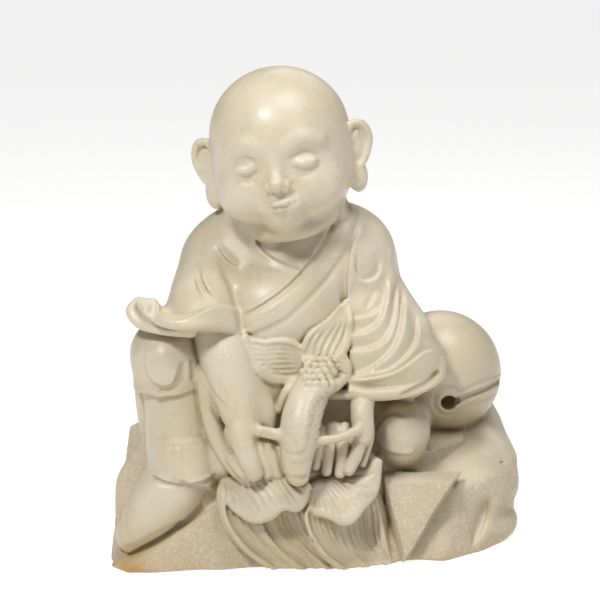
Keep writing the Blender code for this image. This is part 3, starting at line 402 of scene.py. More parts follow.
# The front sheet: u runs to the right and v up, in drawing units, as the statue is seen from in front
# and a little above. The sheet's scale is true at the distance of the statue's middle.
SHEET_TILT = radians(14)
SHEET_DISTANCE = 2000
FRONT = Sheet(
    (-14.0, -20.0, 243.6),
    np.array([
        [1, 0, 0],
        [0, cos(SHEET_TILT), -sin(SHEET_TILT)],
        [0, sin(SHEET_TILT), cos(SHEET_TILT)],
    ]).T,
    SHEET_DISTANCE,
)
INWARD = FRONT.inward
# v counts from the foot of the sheet, which lies this far below its middle
SHEET_FOOT = 300


def seen(u, v, y, *rest):
    return FRONT.seen(u, v - SHEET_FOOT, y, *rest)


def path(*points):
    """A smooth path through sheet points of u, v, depth and radius."""
    return curve([seen(*p) for p in points])


def rope(*points, flat=(1, 1, 1)):
    return tube(path(*points), flat)


def plate(first, last, count, blend=3.0):
    """A plate that spans the space between two sheet lines of u, v, depth and half thickness."""
    return fan(path(*first), path(*last), count, blend)


def lay(b, *points, steps=6):
    return FRONT.lay(b, [(u, v - SHEET_FOOT) for u, v in points], steps)


def mark(b, width, height, form, *points, ends=(0.15, 0.15), steps=6):
    draw(b, lay(b, *points, steps=steps), width, height, form, INWARD, ends)


def marks(b, width, height, form, guides, count, ends=(0.15, 0.15)):
    """Lines spread evenly over the guide lines, from the first to the last."""
    guides = [np.array(guide, float) for guide in guides]
    for place in np.linspace(0, len(guides) - 1, count):
        n = min(int(place), len(guides) - 2)
        line = guides[n] * (n + 1 - place) + guides[n + 1] * (place - n)
        mark(b, width, height, form, *line, ends=ends)


# The back sheet, and the folds drawn on it: half width, depth, the shares of the line that fade in
# and out, and points of x and z
BACK = Sheet((0, 0, 0), np.diag([1, -1, 1]))
BACK_FOLDS = (
    (6, 4.5, (0.25, 0.1), [(62, 330), (30, 285), (-20, 235), (-75, 190), (-115, 150)]),
    (7, 5.0, (0.25, 0.1), [(66, 315), (50, 262), (12, 205), (-35, 160), (-72, 118)]),
    (7, 5.0, (0.25, 0.1), [(72, 300), (68, 245), (46, 190), (12, 145), (-10, 112)]),
    (6, 4.5, (0.25, 0.1), [(78, 280), (84, 230), (76, 180), (58, 140), (48, 112)]),
    (6, 4.5, (0.2, 0.35), [(-100, 320), (-104, 270), (-98, 225), (-80, 190)]),
    (6, 4.0, (0.2, 0.35), [(-86, 335), (-70, 300), (-40, 270), (-8, 258)]),
    (5, 4.0, (0.3, 0.1), [(-126, 180), (-122, 150), (-116, 118)]),
    (5, 4.0, (0.3, 0.1), [(-96, 150), (-98, 130), (-100, 106)]),
    (3, 3.0, (0.1, 0.1), [(-140, 112), (-100, 103), (-50, 106), (0, 102), (50, 106), (90, 110)]),
)


def facet(*corners, out=(0, -1, 0.3)):
    """A cut plane through three sheet points, facing outward."""
    a, b, c = (np.array(seen(*corner)) for corner in corners)
    normal = np.cross(b - a, c - a)
    if normal @ np.array(out) < 0:
        normal = -normal
    return a, normal


def carve_base(b):
    # middle mass under the figure
    b.add(chunk((-170, -70, 0), (150, 118, 96), [
        ((-170, 0, 60), (-1, 0, 0.25)), ((100, -70, 50), (1, -1, 0)), ((0, 118, 50), (0.1, 1, 0.35)),
        ((-150, 110, 50), (-1, 1, 0.2)), ((170, 105, 50), (1, 1, 0.2)), ((60, 118, 30), (0.5, 1, 0.1)),
        ((-60, 112, 74), (-0.1, 1, 0.8)), ((-20, 118, 20), (-0.25, 1, 0.1)),
    ], blend=2, rough=7, length=90))
    # right rock: body with a sloping top, and two rounded lobes at its end
    b.add(chunk((48, -118, 0), (210, 96, 118), [
        facet((88, 115, -96), (215, 128, -43), (120, 160, -20), out=(0, 0, 1)),
        facet((100, 100, -86), (160, 112, -82), (125, 36, -112)),
        facet((145, 35, -112), (184, 42, -82), (174, 105, -74), out=(1, -1, 0)),
        facet((186, 42, -82), (213, 53, -36), (198, 118, -50), out=(1, -1, 0)),
        facet((208, 60, -20), (215, 78, 30), (214, 118, -10), out=(1, -0.5, 0)),
        ((208, 60, 60), (1, 0.2, 0.35)), ((150, 96, 60), (0.3, 1, 0.3)), ((200, 20, 84), (1, -0.1, 1)),
    ], blend=5, rough=3, length=60), 8)
    b.add(ellipsoid((165, -14, 55), (44.5, 54, 34), (0, 12, 8)), 10)
    b.add(ellipsoid((163, -22, 14), (45.5, 52, 26), (0, 0, 8)), 4)
    # rock behind on the right, under the wooden drum
    b.add(chunk((110, 10, 0), (206, 112, 138), [
        ((186, 40, 104), (1, -0.2, 0.7)), ((150, 30, 112), (-0.1, -0.7, 1)),
        ((201, 90, 60), (1, 0.2, 0.05)), ((180, 108, 60), (0.7, 1, 0.3)),
        ((150, 112, 100), (-0.2, 1, 0.8)),
    ], blend=6, rough=4, length=60), 12)
    # prism that stands out in front of it
    b.add(chunk((70, -126, 0), (185, -74, 82), [
        facet((86, 116, -99), (155, 121, -104), (106, 42, -122)),
        facet((155, 121, -104), (106, 42, -122), (140, 90, -60), out=(1, -0.3, 0)),
        facet((86, 116, -99), (155, 121, -104), (120, 140, -58), out=(0, 0, 1)),
        facet((86, 116, -99), (106, 42, -122), (84, 60, -80), out=(-1, 0, 0)),
    ], blend=0.5, rough=1.5, length=50), 1)
    # left rock under the raised foot
    b.add(chunk((-201, -140, 0), (-60, 60, 112), [
        facet((-184, 29, -136), (-177, 47, -133), (-180, 97, -50), out=(-1, 0, 0)),
        facet((-150, 40, -138), (-94, 84, -119), (-150, 57, -119), out=(0, -0.3, 1)),
        facet((-187, 27, -139), (-178, 50, -131), (-150, 40, -138)),
        facet((-150, 40, -138), (-94, 84, -119), (-86, 38, -129)),
        ((-193, -60, 80), (-1, 0, 0.12)), ((-120, 58, 60), (-0.2, 1, 0.3)),
    ], blend=0.5, rough=0.8, length=40))
    b.add(chunk((-110, -134, 0), (-40, -40, 100), [
        facet((-94, 77, -118), (-79, 112, -104), (-83, 36, -131), out=(-1, -0.5, 0)),
        facet((-79, 112, -104), (-83, 36, -131), (-55, 37, -130), out=(0, -1, 0)),
    ], blend=1, rough=1.5, length=40))
    b.add(chunk((-196, -98, 0), (-120, 80, 128), [
        ((-188, -80, 96), (-1, -0.15, 0.3)), ((-170, -60, 115), (-1.8, 0.3, 1)),
        ((-180, 70, 60), (-0.6, 1, 0.3)), ((-175, -94, 60), (-0.3, -1, 0.5)),
        ((-140, 70, 100), (0, 1, 0.7)),
    ], blend=4, rough=6, length=70))
    # front middle under the waves
    b.add(chunk((-92, -118, 0), (100, -40, 78), [
        ((0, -118, 6), (0, -1, 0.18)),
        facet((76, 110, -110), (93, 34, -121), (84, 60, -60), out=(1, 0, 0)),
    ], blend=3))


def carve_rock_edge(b):
    """The rounded end of the right rock stands out from the broken face beside it."""
    mark(b, 10, 4.5, ledge, (191, 108), (188, 90), (183, 74), (176, 60), (168, 50), ends=(0.35, 0.4))


def carve_legs(b):
    # raised right leg: thigh, knee and the trouser's gathered end
    b.add(rope((-50, 200, 40, 52), (-100, 225, -20, 45), (-135, 248, -62, 34)), 14)
    b.add(ellipsoid(seen(-133, 238, -76), (34, 36, 36)), 8)
    knee = rope((-133, 240, -74, 33.5), (-131, 215, -76, 35))
    b.add(knee.meet(half(seen(-130, 207, -100), (0.1, 0.1, -1)), 2), 3)
    # shin in its legging
    b.add(rope((-126, 215, -74, 31), (-122, 185, -78, 32), (-120, 160, -82, 33)), 2)
    # drape behind the shin
    b.add(rope((-156, 222, -58, 10), (-155, 195, -58, 9), (-150, 160, -62, 8), (-147, 147, -64, 6)), 4)
    # gaiter cuff
    cuff = rope((-119, 172, -82, 33), (-118, 150, -86, 35), (-117, 122, -92, 36))
    cuff = cuff.meet(half(seen(-119, 160, -118), (0, 0.1, 1)), 1.5)
    b.add(cuff.meet(half(seen(-117, 118, -120), (-0.25, -0.5, -1)), 1.5), 2)
    # shoe
    shoe = rope((-116, 130, -86, 34), (-130, 108, -96, 33), (-149, 83, -106, 28), (-164, 66, -113, 20))
    b.add(shoe.meet(half(seen(-139, 66, -118), (0.49, -0.09, -0.87)), 1), 2)
    # kneeling left leg
    b.add(rope((20, 190, 40, 48), (70, 180, -10, 42), (101, 170, -52, 29)), 10)
    b.add(ellipsoid(seen(101, 168, -60), (26, 34, 34)), 6)
    b.add(tube([(85, -50, 118, 26), (96, 10, 114, 28), (92, 60, 112, 22)]), 6)


def carve_leg_folds(b):
    # U folds over the raised knee
    mark(b, 5, 3.5, ledge, (-158, 250), (-153, 226), (-141, 214), (-127, 216), (-119, 238))
    mark(b, 4, 3.0, groove, (-166, 245), (-163, 214), (-150, 204), ends=(0.3, 0.0))
    mark(b, 3, 3.0, groove, (-107, 244), (-107, 218))
    mark(b, 3, 3.0, groove, (-116, 240), (-116, 216))
    mark(b, 2.6, 3.0, ledge, (-150, 126), (-133, 118), (-113, 116), (-92, 121), (-80, 134),
        ends=(0.1, 0.1))
    # sole where the shoe meets the rock
    mark(b, 4.0, 5.0, groove, (-75, 134), (-80, 116), (-89, 99), (-113, 80), (-139, 66), (-161, 54),
        (-176, 50), ends=(0.05, 0.1))
    # kneeling knee cap
    mark(b, 4, 4, ledge, (110, 182), (88, 184), (75, 166), (80, 154), (96, 146), (112, 146), (118, 155))


def carve_body(b):
    b.add(ellipsoid((-27, 24, 165), (112, 88, 82)), 0)
    b.add(ellipsoid((-27, 14, 235), (92, 70, 100)), 20)
    b.add(ellipsoid((-28, 8, 288), (86, 60, 62)), 25)
    b.add(ellipsoid(seen(-22, 288, -36), (66, 60, 58)), 20)
    b.add(ellipsoid(seen(-73, 335, 2), (45, 49, 48)), 20)
    b.add(ellipsoid(seen(50, 345, 2), (42, 48, 48)), 20)
    # robe spread over the rock behind
    b.add(ellipsoid((-30, 30, 106), (124, 84, 20)), 16)
    for x, y, turn, size in (
        (-120, 78, 35, 22),
        (-75, 100, 20, 24),
        (-22, 108, 0, 26),
        (30, 100, -15, 24),
        (72, 84, -30, 20),
    ):
        b.add(ellipsoid((x, y - 8, 100), (size * 0.7, size, 15), (0, 0, turn)), 9)


def carve_back_folds(b):
    """Broad folds that run down the back."""
    for width, depth, ends, line in BACK_FOLDS:
        draw(b, BACK.lay(b, line), width, depth, groove, BACK.inward, ends)


def carve_neck(b):
    b.add(tube([(-28, 6, 320, 42), (-30, -6, 350, 40)]), 8)


def carve_collar(b):
    # rolled edge round the back of the neck
    b.add(tube(curve([(-78, -22, 330, 5), (-74, 14, 344, 6), (-52, 44, 350, 6.5), (-26, 54, 351, 6.5),
        (4, 44, 350, 6.5), (22, 12, 345, 6), (24, -24, 332, 5)])), 5)
    # chest band: a flat strip between two lines
    top = [(42, 401), (30, 372), (16, 348), (3, 330), (-16, 311), (-37, 296), (-59, 284)]
    low = [(60, 388), (54.5, 369), (43, 343), (25, 318), (4, 296), (-17, 278), (-53, 262)]
    mid = [((a + c) / 2, (e + d) / 2) for (a, e), (c, d) in zip(top, low)]
    draw(b, lay(b, *mid), 14, 1.6, lambda s, g: np.clip(1.6 - 1.6 * g, 0, 1), INWARD, (0.02, 0.02))
    mark(b, 3.4, 2.2, lower, *top, ends=(0.02, 0.02))
    mark(b, 2.4, 2.6, groove, *low, ends=(0.02, 0.02))
    # inner neckline
    mark(b, 4.5, 2.6, lower, (-66, 385), (-53, 372), (-43, 357), (-32, 346), (-16, 337), (3, 330),
        ends=(0.05, 0.1))


def carve_robe_folds(b):
    # left sleeve: a hanging loop, and under it stepped folds that sweep in from the shoulder
    sweep = (0.25, 0.02)
    mark(b, 4.5, 2.4, lower, (56, 350), (55.5, 334), (57, 327), (61, 321.5), (66, 320), (73, 322),
        (78, 328), (81, 345), ends=(0.3, 0.3))
    mark(b, 4.5, 2.4, ledge, (84, 301), (80, 293), (72, 287), (63.5, 284), (50, 282.5), ends=sweep)
    mark(b, 3.0, 2.0, groove, (78, 316), (71, 301), (64, 289), ends=(0.3, 0.2))
    mark(b, 6.5, 3.2, ledge, (87, 328), (86, 310), (84.5, 296.5), (80, 283), (73, 274), (62, 268.5),
        (48, 267.5), ends=sweep)
    mark(b, 7.0, 3.4, ledge, (97, 322), (96.5, 307), (95.5, 289), (92, 275), (85, 261.5), (74, 254),
        (61, 251), (46, 251.5), ends=sweep)
    mark(b, 7.0, 3.6, ledge, (104, 312), (103, 296), (101.5, 278), (97, 261.5), (88, 246.5), (74, 234.5),
        (61, 228.5), (46, 226), ends=sweep)
    mark(b, 5.0, 2.6, ledge, (116, 288), (117, 275), (116, 260), (109, 248), (98.5, 237.5), (85, 230),
        (65, 226), (46, 224), ends=sweep)
    # inner edge of the sleeve
    mark(b, 5, 3.6, ledge, (52, 362), (47.5, 334), (46.5, 304), (49, 290), (48, 240), (47, 205),
        ends=(0.1, 0.02))
    # hem line of the left sleeve
    mark(b, 3.0, 2.4, ledge, (141, 247), (132, 250), (123, 247.5), (112, 239), (98.5, 230), (85, 225),
        (65, 221.5), (46, 221), ends=(0.1, 0.02))
    # right chest and sleeve folds
    mark(b, 4.5, 2.8, ledge, (-84, 356), (-78, 345), (-70, 337), (-58, 330), ends=(0.4, 0.5))
    mark(b, 4.0, 2.8, ledge, (-101, 336), (-98, 320), (-90, 306), (-80, 298), ends=(0.4, 0.4))
    mark(b, 4.0, 2.4, ledge, (-106, 326), (-103, 312), (-94, 300), ends=(0.4, 0.4))
    # crease where the sleeve leaves the chest
    mark(b, 5, 5, groove, (-80, 346), (-77, 335), (-68, 314), (-61, 293), (-57, 268), ends=(0.4, 0.02))


def carve_right_sleeve(b):
    sleeve = rope((-76, 335, 0, 43), (-85, 312, -28, 42), (-94, 290, -62, 39), (-98, 266, -78, 41))
    sleeve = sleeve.meet(half(seen(-110, 272, -120), (-0.04, -0.40, -1)), 2)
    b.add(sleeve, 8)
    b.add(ellipsoid(seen(-138, 283, -84), (24, 22, 9), (0, 24, 0)), 6)
    # layer under the hem, which turns up at the corner
    b.add(plate(
        [(-112, 272, -100, 5), (-135, 274, -96, 5), (-152, 280, -88, 5), (-158, 288, -80, 5),
            (-150, 294, -72, 5)],
        [(-108, 267, -108, 4), (-132, 269, -106, 4), (-158, 275, -96, 4.5), (-169, 288, -86, 5),
            (-162, 298, -76, 5)],
        7), 5)
    # hem: a flat band that flares out
    b.add(plate(
        [(-56, 287, -80, 3), (-80, 291, -101, 4), (-100, 286, -113, 4), (-120, 281, -113, 4),
            (-136, 284, -106, 4), (-144, 291, -95, 4), (-146, 297, -84, 4)],
        [(-55, 267, -85, 3), (-76, 273, -107, 3), (-97, 273.5, -121, 3), (-119, 273, -122, 3),
            (-138, 277, -115, 3), (-152, 287, -104, 3), (-160, 297, -90, 3.5)],
        9), 5)
    b.cut(ellipsoid(seen(-146, 291, -112), (7, 16, 9), (0, 30, 0)), 5)


def carve_lap(b):
    b.add(ellipsoid(seen(-30, 212, -66), (50, 32, 62)), 10)
    b.add(ellipsoid(seen(20, 235, -58), (50, 34, 34)), 8)
    # cloth that fills in behind the arm, up to the sleeve and across to the leg
    b.add(rope((-96, 235, -66, 20), (-84, 185, -82, 22), (-74, 140, -92, 22)), 6)


def carve_right_arm(b):
    b.add(rope((-82, 280, -64, 27), (-76, 250, -86, 26.5), (-66, 215, -102, 24), (-58, 185, -114, 20),
        (-57, 166, -121, 16)), 2)
    # heel of the hand, spreading towards the lap
    b.add(rope((-60, 230, -84, 22), (-46, 203, -98, 17), (-36, 186, -108, 12), (-34, 170, -114, 9)), 8)
    # cloth fold beside the arm
    b.add(rope((-99, 232, -90, 5), (-94, 205, -98, 8), (-87, 175, -108, 9), (-77, 150, -117, 8.5),
        (-65, 131, -125, 7), (-54, 121, -130, 6)), 4)
    # back of the hand
    b.add(rope((-58, 168, -121, 16), (-52, 152, -123, 16), (-42, 144, -123, 13), flat=(1, 0.75, 1)), 4)
    # first finger, laid over the others
    b.add(rope((-60, 170, -128, 11), (-56, 152, -135, 11.5), (-50, 138, -140, 10.5), (-46, 127, -141, 9)),
        3)
    b.add(rope((-67, 142, -129, 7), (-57, 129, -135, 7.5), (-49, 124, -137, 6)), 2)
    for u0, u1, u2, low, r in (
        (-44, -38, -32, 126, 6.4),
        (-34, -28, -22, 126, 6.4),
        (-24, -17, -12, 129, 5.8),
    ):
        b.add(rope((u0, 162, -121, r), (u1 - 1, 150, -130, r), (u1 + 2, 138, -134, r),
            (u2, low, -135, r * 0.85)), 0.6)


def carve_left_sleeve(b):
    sleeve = rope((53, 340, 0, 40), (67, 300, -10, 39.5), (80, 258, -32, 45), (86, 238, -42, 49))
    b.add(sleeve.meet(half(seen(88, 208, -60), (0.15, -0.2, -1)), 3), 16)
    b.add(rope((93, 304, -16, 14), (105, 289, -26, 14), (118, 271, -38, 14)), 10)
    # the sleeve's inner side, flat down to the lap
    b.add(plate(
        [(53, 345, -22, 8), (53, 315, -34, 8), (54, 285, -50, 8), (54, 255, -68, 8), (54, 228, -83, 8),
            (53, 212, -88, 7)],
        [(82, 345, -16, 10), (86, 315, -30, 10), (88, 285, -48, 10), (90, 255, -68, 10),
            (92, 230, -80, 10), (92, 212, -84, 7)],
        8, 8), 5)
    # wide hem that ends in an upturned corner
    hem = ellipsoid(seen(92, 232, -48), (54, 46, 34), (0, -14, 0))
    b.add(hem.meet(half(seen(92, 205, -90), (-0.18, -0.25, -1)), 2), 8)
    b.add(rope((30, 206, -92, 6), (50, 206, -98, 6), (75, 205, -100, 6), (100, 207, -96, 6),
        (122, 213, -86, 6), (138, 224, -72, 6), (141, 238, -62, 5)), 5)


def carve_left_hem(b):
    """The mouth of the sleeve, seen at its corner."""
    b.cut(rope((137, 227, -76, 3.0), (128, 217, -88, 3.6), (103, 205, -102, 2.5)), 1.5)


def carve_left_arm(b):
    b.add(rope((64, 215, -72, 13), (62, 192, -102, 11.5), (63, 172, -112, 10.5), (64, 162, -116, 8)), 1)
    b.add(rope((34, 170, -100, 9), (52, 160, -106, 10), flat=(1, 0.8, 1)), 4)
    for u, low, r in ((15.5, 134, 5.2), (26.5, 129, 6), (40, 127, 6.2)):
        b.add(rope((u + 5, 172, -102, r), (u + 3, 152, -114, r), (u, low, -118, r * 0.92)), 0.6)
    b.add(rope((62, 164, -112, 6.5), (56, 145, -118, 6.8), (49, 130, -122, 5.8)), 0.6)
    b.add(rope((68, 190, -104, 3.5), (71, 165, -108, 3.5), (63, 136, -112, 3.5)), 2)


def carve_fish(b):
    b.add(rope((24, 236, -88, 14), (19, 222, -98, 17.5), (9, 203, -112, 18.5), (2, 183, -124, 19.5),
        (-1, 162, -133, 18.5), (-3, 138, -142, 14.5), (-2, 125, -146, 11)), 1)
    b.add(ellipsoid(seen(24, 228, -86), (24, 13, 17), (0, -20, 0)), 3)
    # ridge of the back, running up into the fin at the tail
    b.add(rope((46, 223, -96, 4.5), (33, 213, -110, 6), (16, 207, -123, 6.5), (9, 192, -136, 4.5),
        (5, 174, -145, 4), (1, 150, -152, 3)), 4)
    b.add(rope((40, 244, -90, 6), (45, 233, -94, 7), (45, 224, -96, 5)), 3)
    # small fin at the belly
    b.add(rope((-5, 219, -98, 4), (-13, 208, -102, 5.5), (-21, 190, -104, 4.5)), 3)
    # side fins held by the hands
    b.add(rope((-4, 160, -132, 9), (-22, 165, -134, 6), (-46, 170, -130, 5.5)), 4)
    b.add(rope((4, 158, -132, 8), (28, 160, -132, 4.5), (42, 163, -128, 4.5), (58, 170, -122, 5)), 4)
    # lips and mouth
    b.add(ellipsoid(seen(-3, 129, -149), (11.5, 9, 3.5)), 2)
    b.add(ellipsoid(seen(0, 121, -149), (8, 8, 3.5)), 2)


TAIL_RIGHT = (
    [(4, 240), (5, 254), (12, 267), (27, 277), (37, 288), (45, 297)],
    [(37, 238), (42, 250), (48, 262), (50, 278), (49, 290), (47, 299)],
)
TAIL_LEFT = (
    [(6, 248), (-8, 257), (-22, 259), (-38, 258), (-55, 264)],
    [(4, 218), (-12, 219), (-30, 221), (-43, 230), (-56, 262)],
)


def carve_tail(b):
    """Two lobes of thin rays, each spread between guide lines that leave the fish at a root's depth."""
    def guide(points, root, lift):
        line = lay(b, *points, steps=4)
        n = np.linspace(0, 1, len(line))
        near = np.clip(n * 2.2, 0, 1)
        line[:, 1] = root * (1 - near) + (line[:, 1] - lift) * near
        return np.hstack([line, (4.4 * (1 - 0.35 * n ** 2))[:, None]])

    for (first, last), (first_root, last_root), lift in (
        (TAIL_RIGHT, (-96, -94), 4),
        (TAIL_LEFT, (-92, -92), 2),
    ):
        b.add(fan(guide(first, first_root, lift), guide(last, last_root, lift), 9, 1.5), 0.6)


def carve_scales(b):
    """Large scales on the fish's back, below the tail, in rows that lie over each other."""
    for row in range(5):
        for col in range(6):
            u = 5 + col * 7.5 + (3.7 if row % 2 else 0) - row * 0.8
            v = 239 - row * 6
            if not 3 < u < (38 if row < 3 else 36):
                continue
            p = lay(b, (u, v), (u + 0.01, v))[0]
            b.add(ellipsoid(p + np.array([0, 0.7, 0.5]), (4.6, 2.6, 4.4), (-15, 0, 0)), 0.3)


def carve_muyu(b):
    """The wooden drum behind the knee."""
    b.add(ellipsoid(seen(141.5, 229, 40), (61.5, 62, 63.5), (0, -15, 0)), 2)


def carve_muyu_slit(b):
    """The drum's round hole, and the slit that runs from it to the drum's edge."""
    hole = seen(148, 198, -10)
    b.cut(tube([(hole[0], -60, hole[2] + 4, 8), (hole[0], 10, hole[2], 8)]), 1)
    line = lay(b, (156, 199), (170, 204), (185, 210), (197, 217), (203, 220))
    slot = np.hstack([line, np.full((len(line), 1), 3.6)])
    slot[-6:, 1] += np.linspace(0, 4, 6)
    b.cut(tube(slot), 1)


HEAD = np.array(seen(-19, 450, -20))
HEAD_TURN = (-4, -8, -5)


def on_head(x, y, z, *rest):
    """A point in the head's own frame: x to its left, y inward, z up."""
    return (*(HEAD + turned(HEAD_TURN) @ np.array([x, y, z])), *rest)


def head_ball(x, y, z, radii, turn=(0, 0, 0)):
    return ellipsoid(on_head(x, y, z), radii, tuple(a + c for a, c in zip(HEAD_TURN, turn)))


def head_rope(*points):
    return tube(curve([on_head(*p) for p in points]))


def carve_head(b):
    # skull, face, cheeks and chin
    b.add(head_ball(0, 6, 16, (69, 76, 66)), 6)
    b.add(head_ball(0, -4, -26, (67, 60, 51)), 22)
    for s in (-1, 1):
        b.add(head_ball(s * 34, -41, -37, (26, 24, 22)), 16)
    b.add(head_ball(0, -50, -60, (19, 16, 14)), 12)
    b.add(head_rope((-40, -12, -68, 7), (-22, -30, -76, 8), (0, -36, -78, 8), (22, -30, -76, 8),
        (40, -12, -68, 7)), 10)
    # eyes in their hollows, under soft brows
    for s in (-1, 1):
        b.cut(head_ball(s * 28, -80, -8, (19, 11, 9)), 14)
        b.add(head_rope((s * 12, -64, 8, 3), (s * 28, -62, 14, 3.5), (s * 45, -52, 10, 2)), 12)
        b.add(head_ball(s * 28, -59.5, -10, (13.5, 8, 7.2)), 3)
    # nose
    b.add(head_rope((0, -63, 0, 4), (0, -67, -12, 4.5), (0, -71.5, -23, 6)), 9)
    b.add(head_ball(0, -74.5, -26, (7, 7.5, 6.5)), 5)
    for s in (-1, 1):
        b.add(head_ball(s * 8, -69.5, -28.5, (5, 6, 4.6)), 3)
    # lips
    b.add(head_ball(0, -62, -48, (19, 10, 11)), 10)
    b.add(head_rope((-12.5, -66, -45, 1.8), (-6, -71.5, -44, 3.0), (0, -72.5, -45, 3.1),
        (6, -71.5, -44, 3.0), (12.5, -66, -45, 1.8)), 1.5)
    b.add(head_rope((-9.5, -66.5, -48.5, 2.0), (0, -70.5, -50.5, 3.8), (9.5, -66.5, -48.5, 2.0)), 2.5)


def carve_ears(b):
    for s in (-1, 1):
        b.add(head_ball(s * 70, 8, -6, (17, 8, 25), (0, s * 6, s * 28)), 3)
        b.add(head_ball(s * 71, 5, -34, (10.5, 7, 17), (0, 0, s * 20)), 3)
        b.add(head_rope((s * 66, -2, 6, 3), (s * 72, -2, 17, 3.6), (s * 82, 3, 15, 4.2),
            (s * 86.5, 7, 1, 4.2), (s * 82, 5, -15, 3.8), (s * 77, 2, -24, 3)), 2)
        b.cut(head_ball(s * 77, -4.5, 0, (4, 4.5, 9), (0, s * 10, s * 28)), 2)
        b.add(head_rope((s * 71, -1, -5, 2.4), (s * 75, 0, 3, 2.4), (s * 76, 1, 9, 2.0)), 2)


# Two waves: the outer edges of each one's falling water, then the upper and lower edges of its foam
WAVE_LEFT = (
    [(-74, 116), (-77, 104), (-72, 80), (-54, 55), (-24, 34)],
    [(-2, 104), (2, 88), (8, 70), (22, 52), (44, 34)],
)
WAVE_RIGHT = (
    [(11, 98), (6, 84), (13, 64), (28, 46), (46, 34)],
    [(76, 102), (80, 84), (81, 66), (84, 50), (92, 38)],
)
WAVE_LEFT_DEPTHS = ((-114, -124, -130, -131, -121), (-110, -118, -122, -124, -121))
WAVE_RIGHT_DEPTHS = ((-130, -136, -137, -132, -121), (-92, -96, -100, -104, -108))
FOAM_LEFT_DEPTHS = ((-110, -124, -132, -134), (-130, -141, -146, -146, -138))
FOAM_RIGHT_DEPTHS = ((-122, -112, -104, -98), (-134, -140, -140, -128, -108))
FOAM_LEFT = (
    [(-76, 118), (-60, 120), (-34, 122), (-12, 121), (6, 114)],
    [(-74, 103), (-66, 93), (-54, 84), (-45, 81), (-36, 82), (-27, 86), (-20, 93), (-14, 95), (-5, 92),
        (2, 97), (8, 112)],
)
FOAM_RIGHT = (
    [(10, 110), (22, 117), (38, 122), (56, 127), (72, 140)],
    [(8, 100), (13, 89), (22, 87), (32, 84), (41, 79), (50, 80), (57, 87), (61, 94), (68, 100), (76, 113),
        (79, 138)],
)


def along(line, t):
    """The point that lies at a share t of a line's points."""
    places = np.linspace(0, 1, len(line))
    return np.array([np.interp(t, places, line[:, n]) for n in range(line.shape[1])])


def comb(roots, tips, count, radius, rise, blend):
    """Bars side by side that run from one line to another; rise lifts their middles outward."""
    whole = None
    for t in np.linspace(0, 1, count):
        a, c = along(roots, t)[:3], along(tips, t)[:3]
        middle = (a + c) / 2 + np.array([0, -1, 0.5]) * rise
        bar = tube(curve([(*a, radius), (*middle, radius), (*c, radius)], 4))
        whole = bar if whole is None else whole.join(bar, blend)
    return whole


def at_depths(points, depths, radius):
    """Sheet points with depths spread along them."""
    places = np.linspace(0, len(depths) - 1, len(points))
    spread = np.interp(places, range(len(depths)), depths)
    return path(*[(u, v, depth, radius) for depth, (u, v) in zip(spread, points)])


def carve_waves(b):
    # masses the water is cut from
    b.add(rope((-52, 100, -100, 24), (-38, 70, -104, 26), (0, 52, -98, 26)), 6)
    b.add(rope((24, 92, -96, 22), (40, 70, -98, 24), (66, 54, -92, 22)), 6)
    for wave, depths in ((WAVE_LEFT, WAVE_LEFT_DEPTHS), (WAVE_RIGHT, WAVE_RIGHT_DEPTHS)):
        first, last = (at_depths(line, line_depths, 6.5) for line, line_depths in zip(wave, depths))
        b.add(fan(first, last, 20, 3), 2)


def carve_water_hollows(b):
    """Hollows under the crests."""
    b.cut(ellipsoid(seen(-8, 74, -142), (12, 13, 24), (0, -28, 0)), 6)
    b.cut(ellipsoid(seen(68, 76, -118), (9, 14, 25), (0, -8, 0)), 5)


def carve_foam(b):
    """Foam that falls over from the crests."""
    for foam, depths in ((FOAM_LEFT, FOAM_LEFT_DEPTHS), (FOAM_RIGHT, FOAM_RIGHT_DEPTHS)):
        roots, tips = (at_depths(line, line_depths, 0) for line, line_depths in zip(foam, depths))
        b.add(comb(roots, tips, 60, 3.4, 4, 3), 2)


def notch(s, gap):
    """A cut with straight sides."""
    return -np.clip(1 - gap * 0.8, 0, 1)


def carve_leg_lines(b):
    """Rim, strap and lacing of the gaiter, and a crack in the rock beside the shoe."""
    for width, depth, line in (
        (2.2, 2.4, [(-150, 165), (-138, 159), (-110, 159), (-89, 166)]),
        (1.8, 2.0, [(-149, 160), (-138, 154.5), (-110, 154.5), (-88, 161)]),
        (1.8, 2.4, [(-128, 154), (-127, 113)]),
        (1.8, 2.4, [(-117, 154), (-116, 113)]),
        (1.8, 2.0, [(-91, 158), (-85, 132)]),
        (1.8, 2.0, [(-86, 158), (-82, 140)]),
    ):
        mark(b, width, depth, groove, *line)
    mark(b, 2.4, 2.0, groove, (-184, 95), (-177, 76), (-171, 62), (-164, 58), ends=(0.3, 0.1))


def carve_sleeve_line(b):
    """The right sleeve's hem stands out below the cloth above it."""
    mark(b, 3.2, 2.2, lower, (-139, 298), (-140, 288), (-134, 282), (-120, 281), (-104, 286), (-90, 293),
        (-76, 295), (-58, 290), ends=(0.15, 0.02))


def carve_arm_folds(b):
    # sharp crease from the armpit down to the lap
    mark(b, 3.0, 4.0, notch, (-75, 328), (-70, 316), (-63, 298), (-59.5, 288), (-57, 266), (-52, 253),
        (-45, 233), (-40, 214), ends=(0.3, 0.3))
    mark(b, 2.4, 2.6, groove, (-98, 232), (-92, 215), (-84, 202), (-70, 188), (-64, 180), ends=(0.1, 0.4))
    mark(b, 2.4, 2.4, groove, (-92, 200), (-84, 186), (-76, 174), (-66, 164), ends=(0.2, 0.4))
    mark(b, 2.0, 2.4, groove, (-71, 154), (-66, 146), (-62, 137), ends=(0.3, 0.3))


def inset(guides, share):
    """Two outer guide lines drawn in towards each other."""
    first, last = (np.array(guide, float) for guide in guides)
    return first + (last - first) * share, last - (last - first) * share


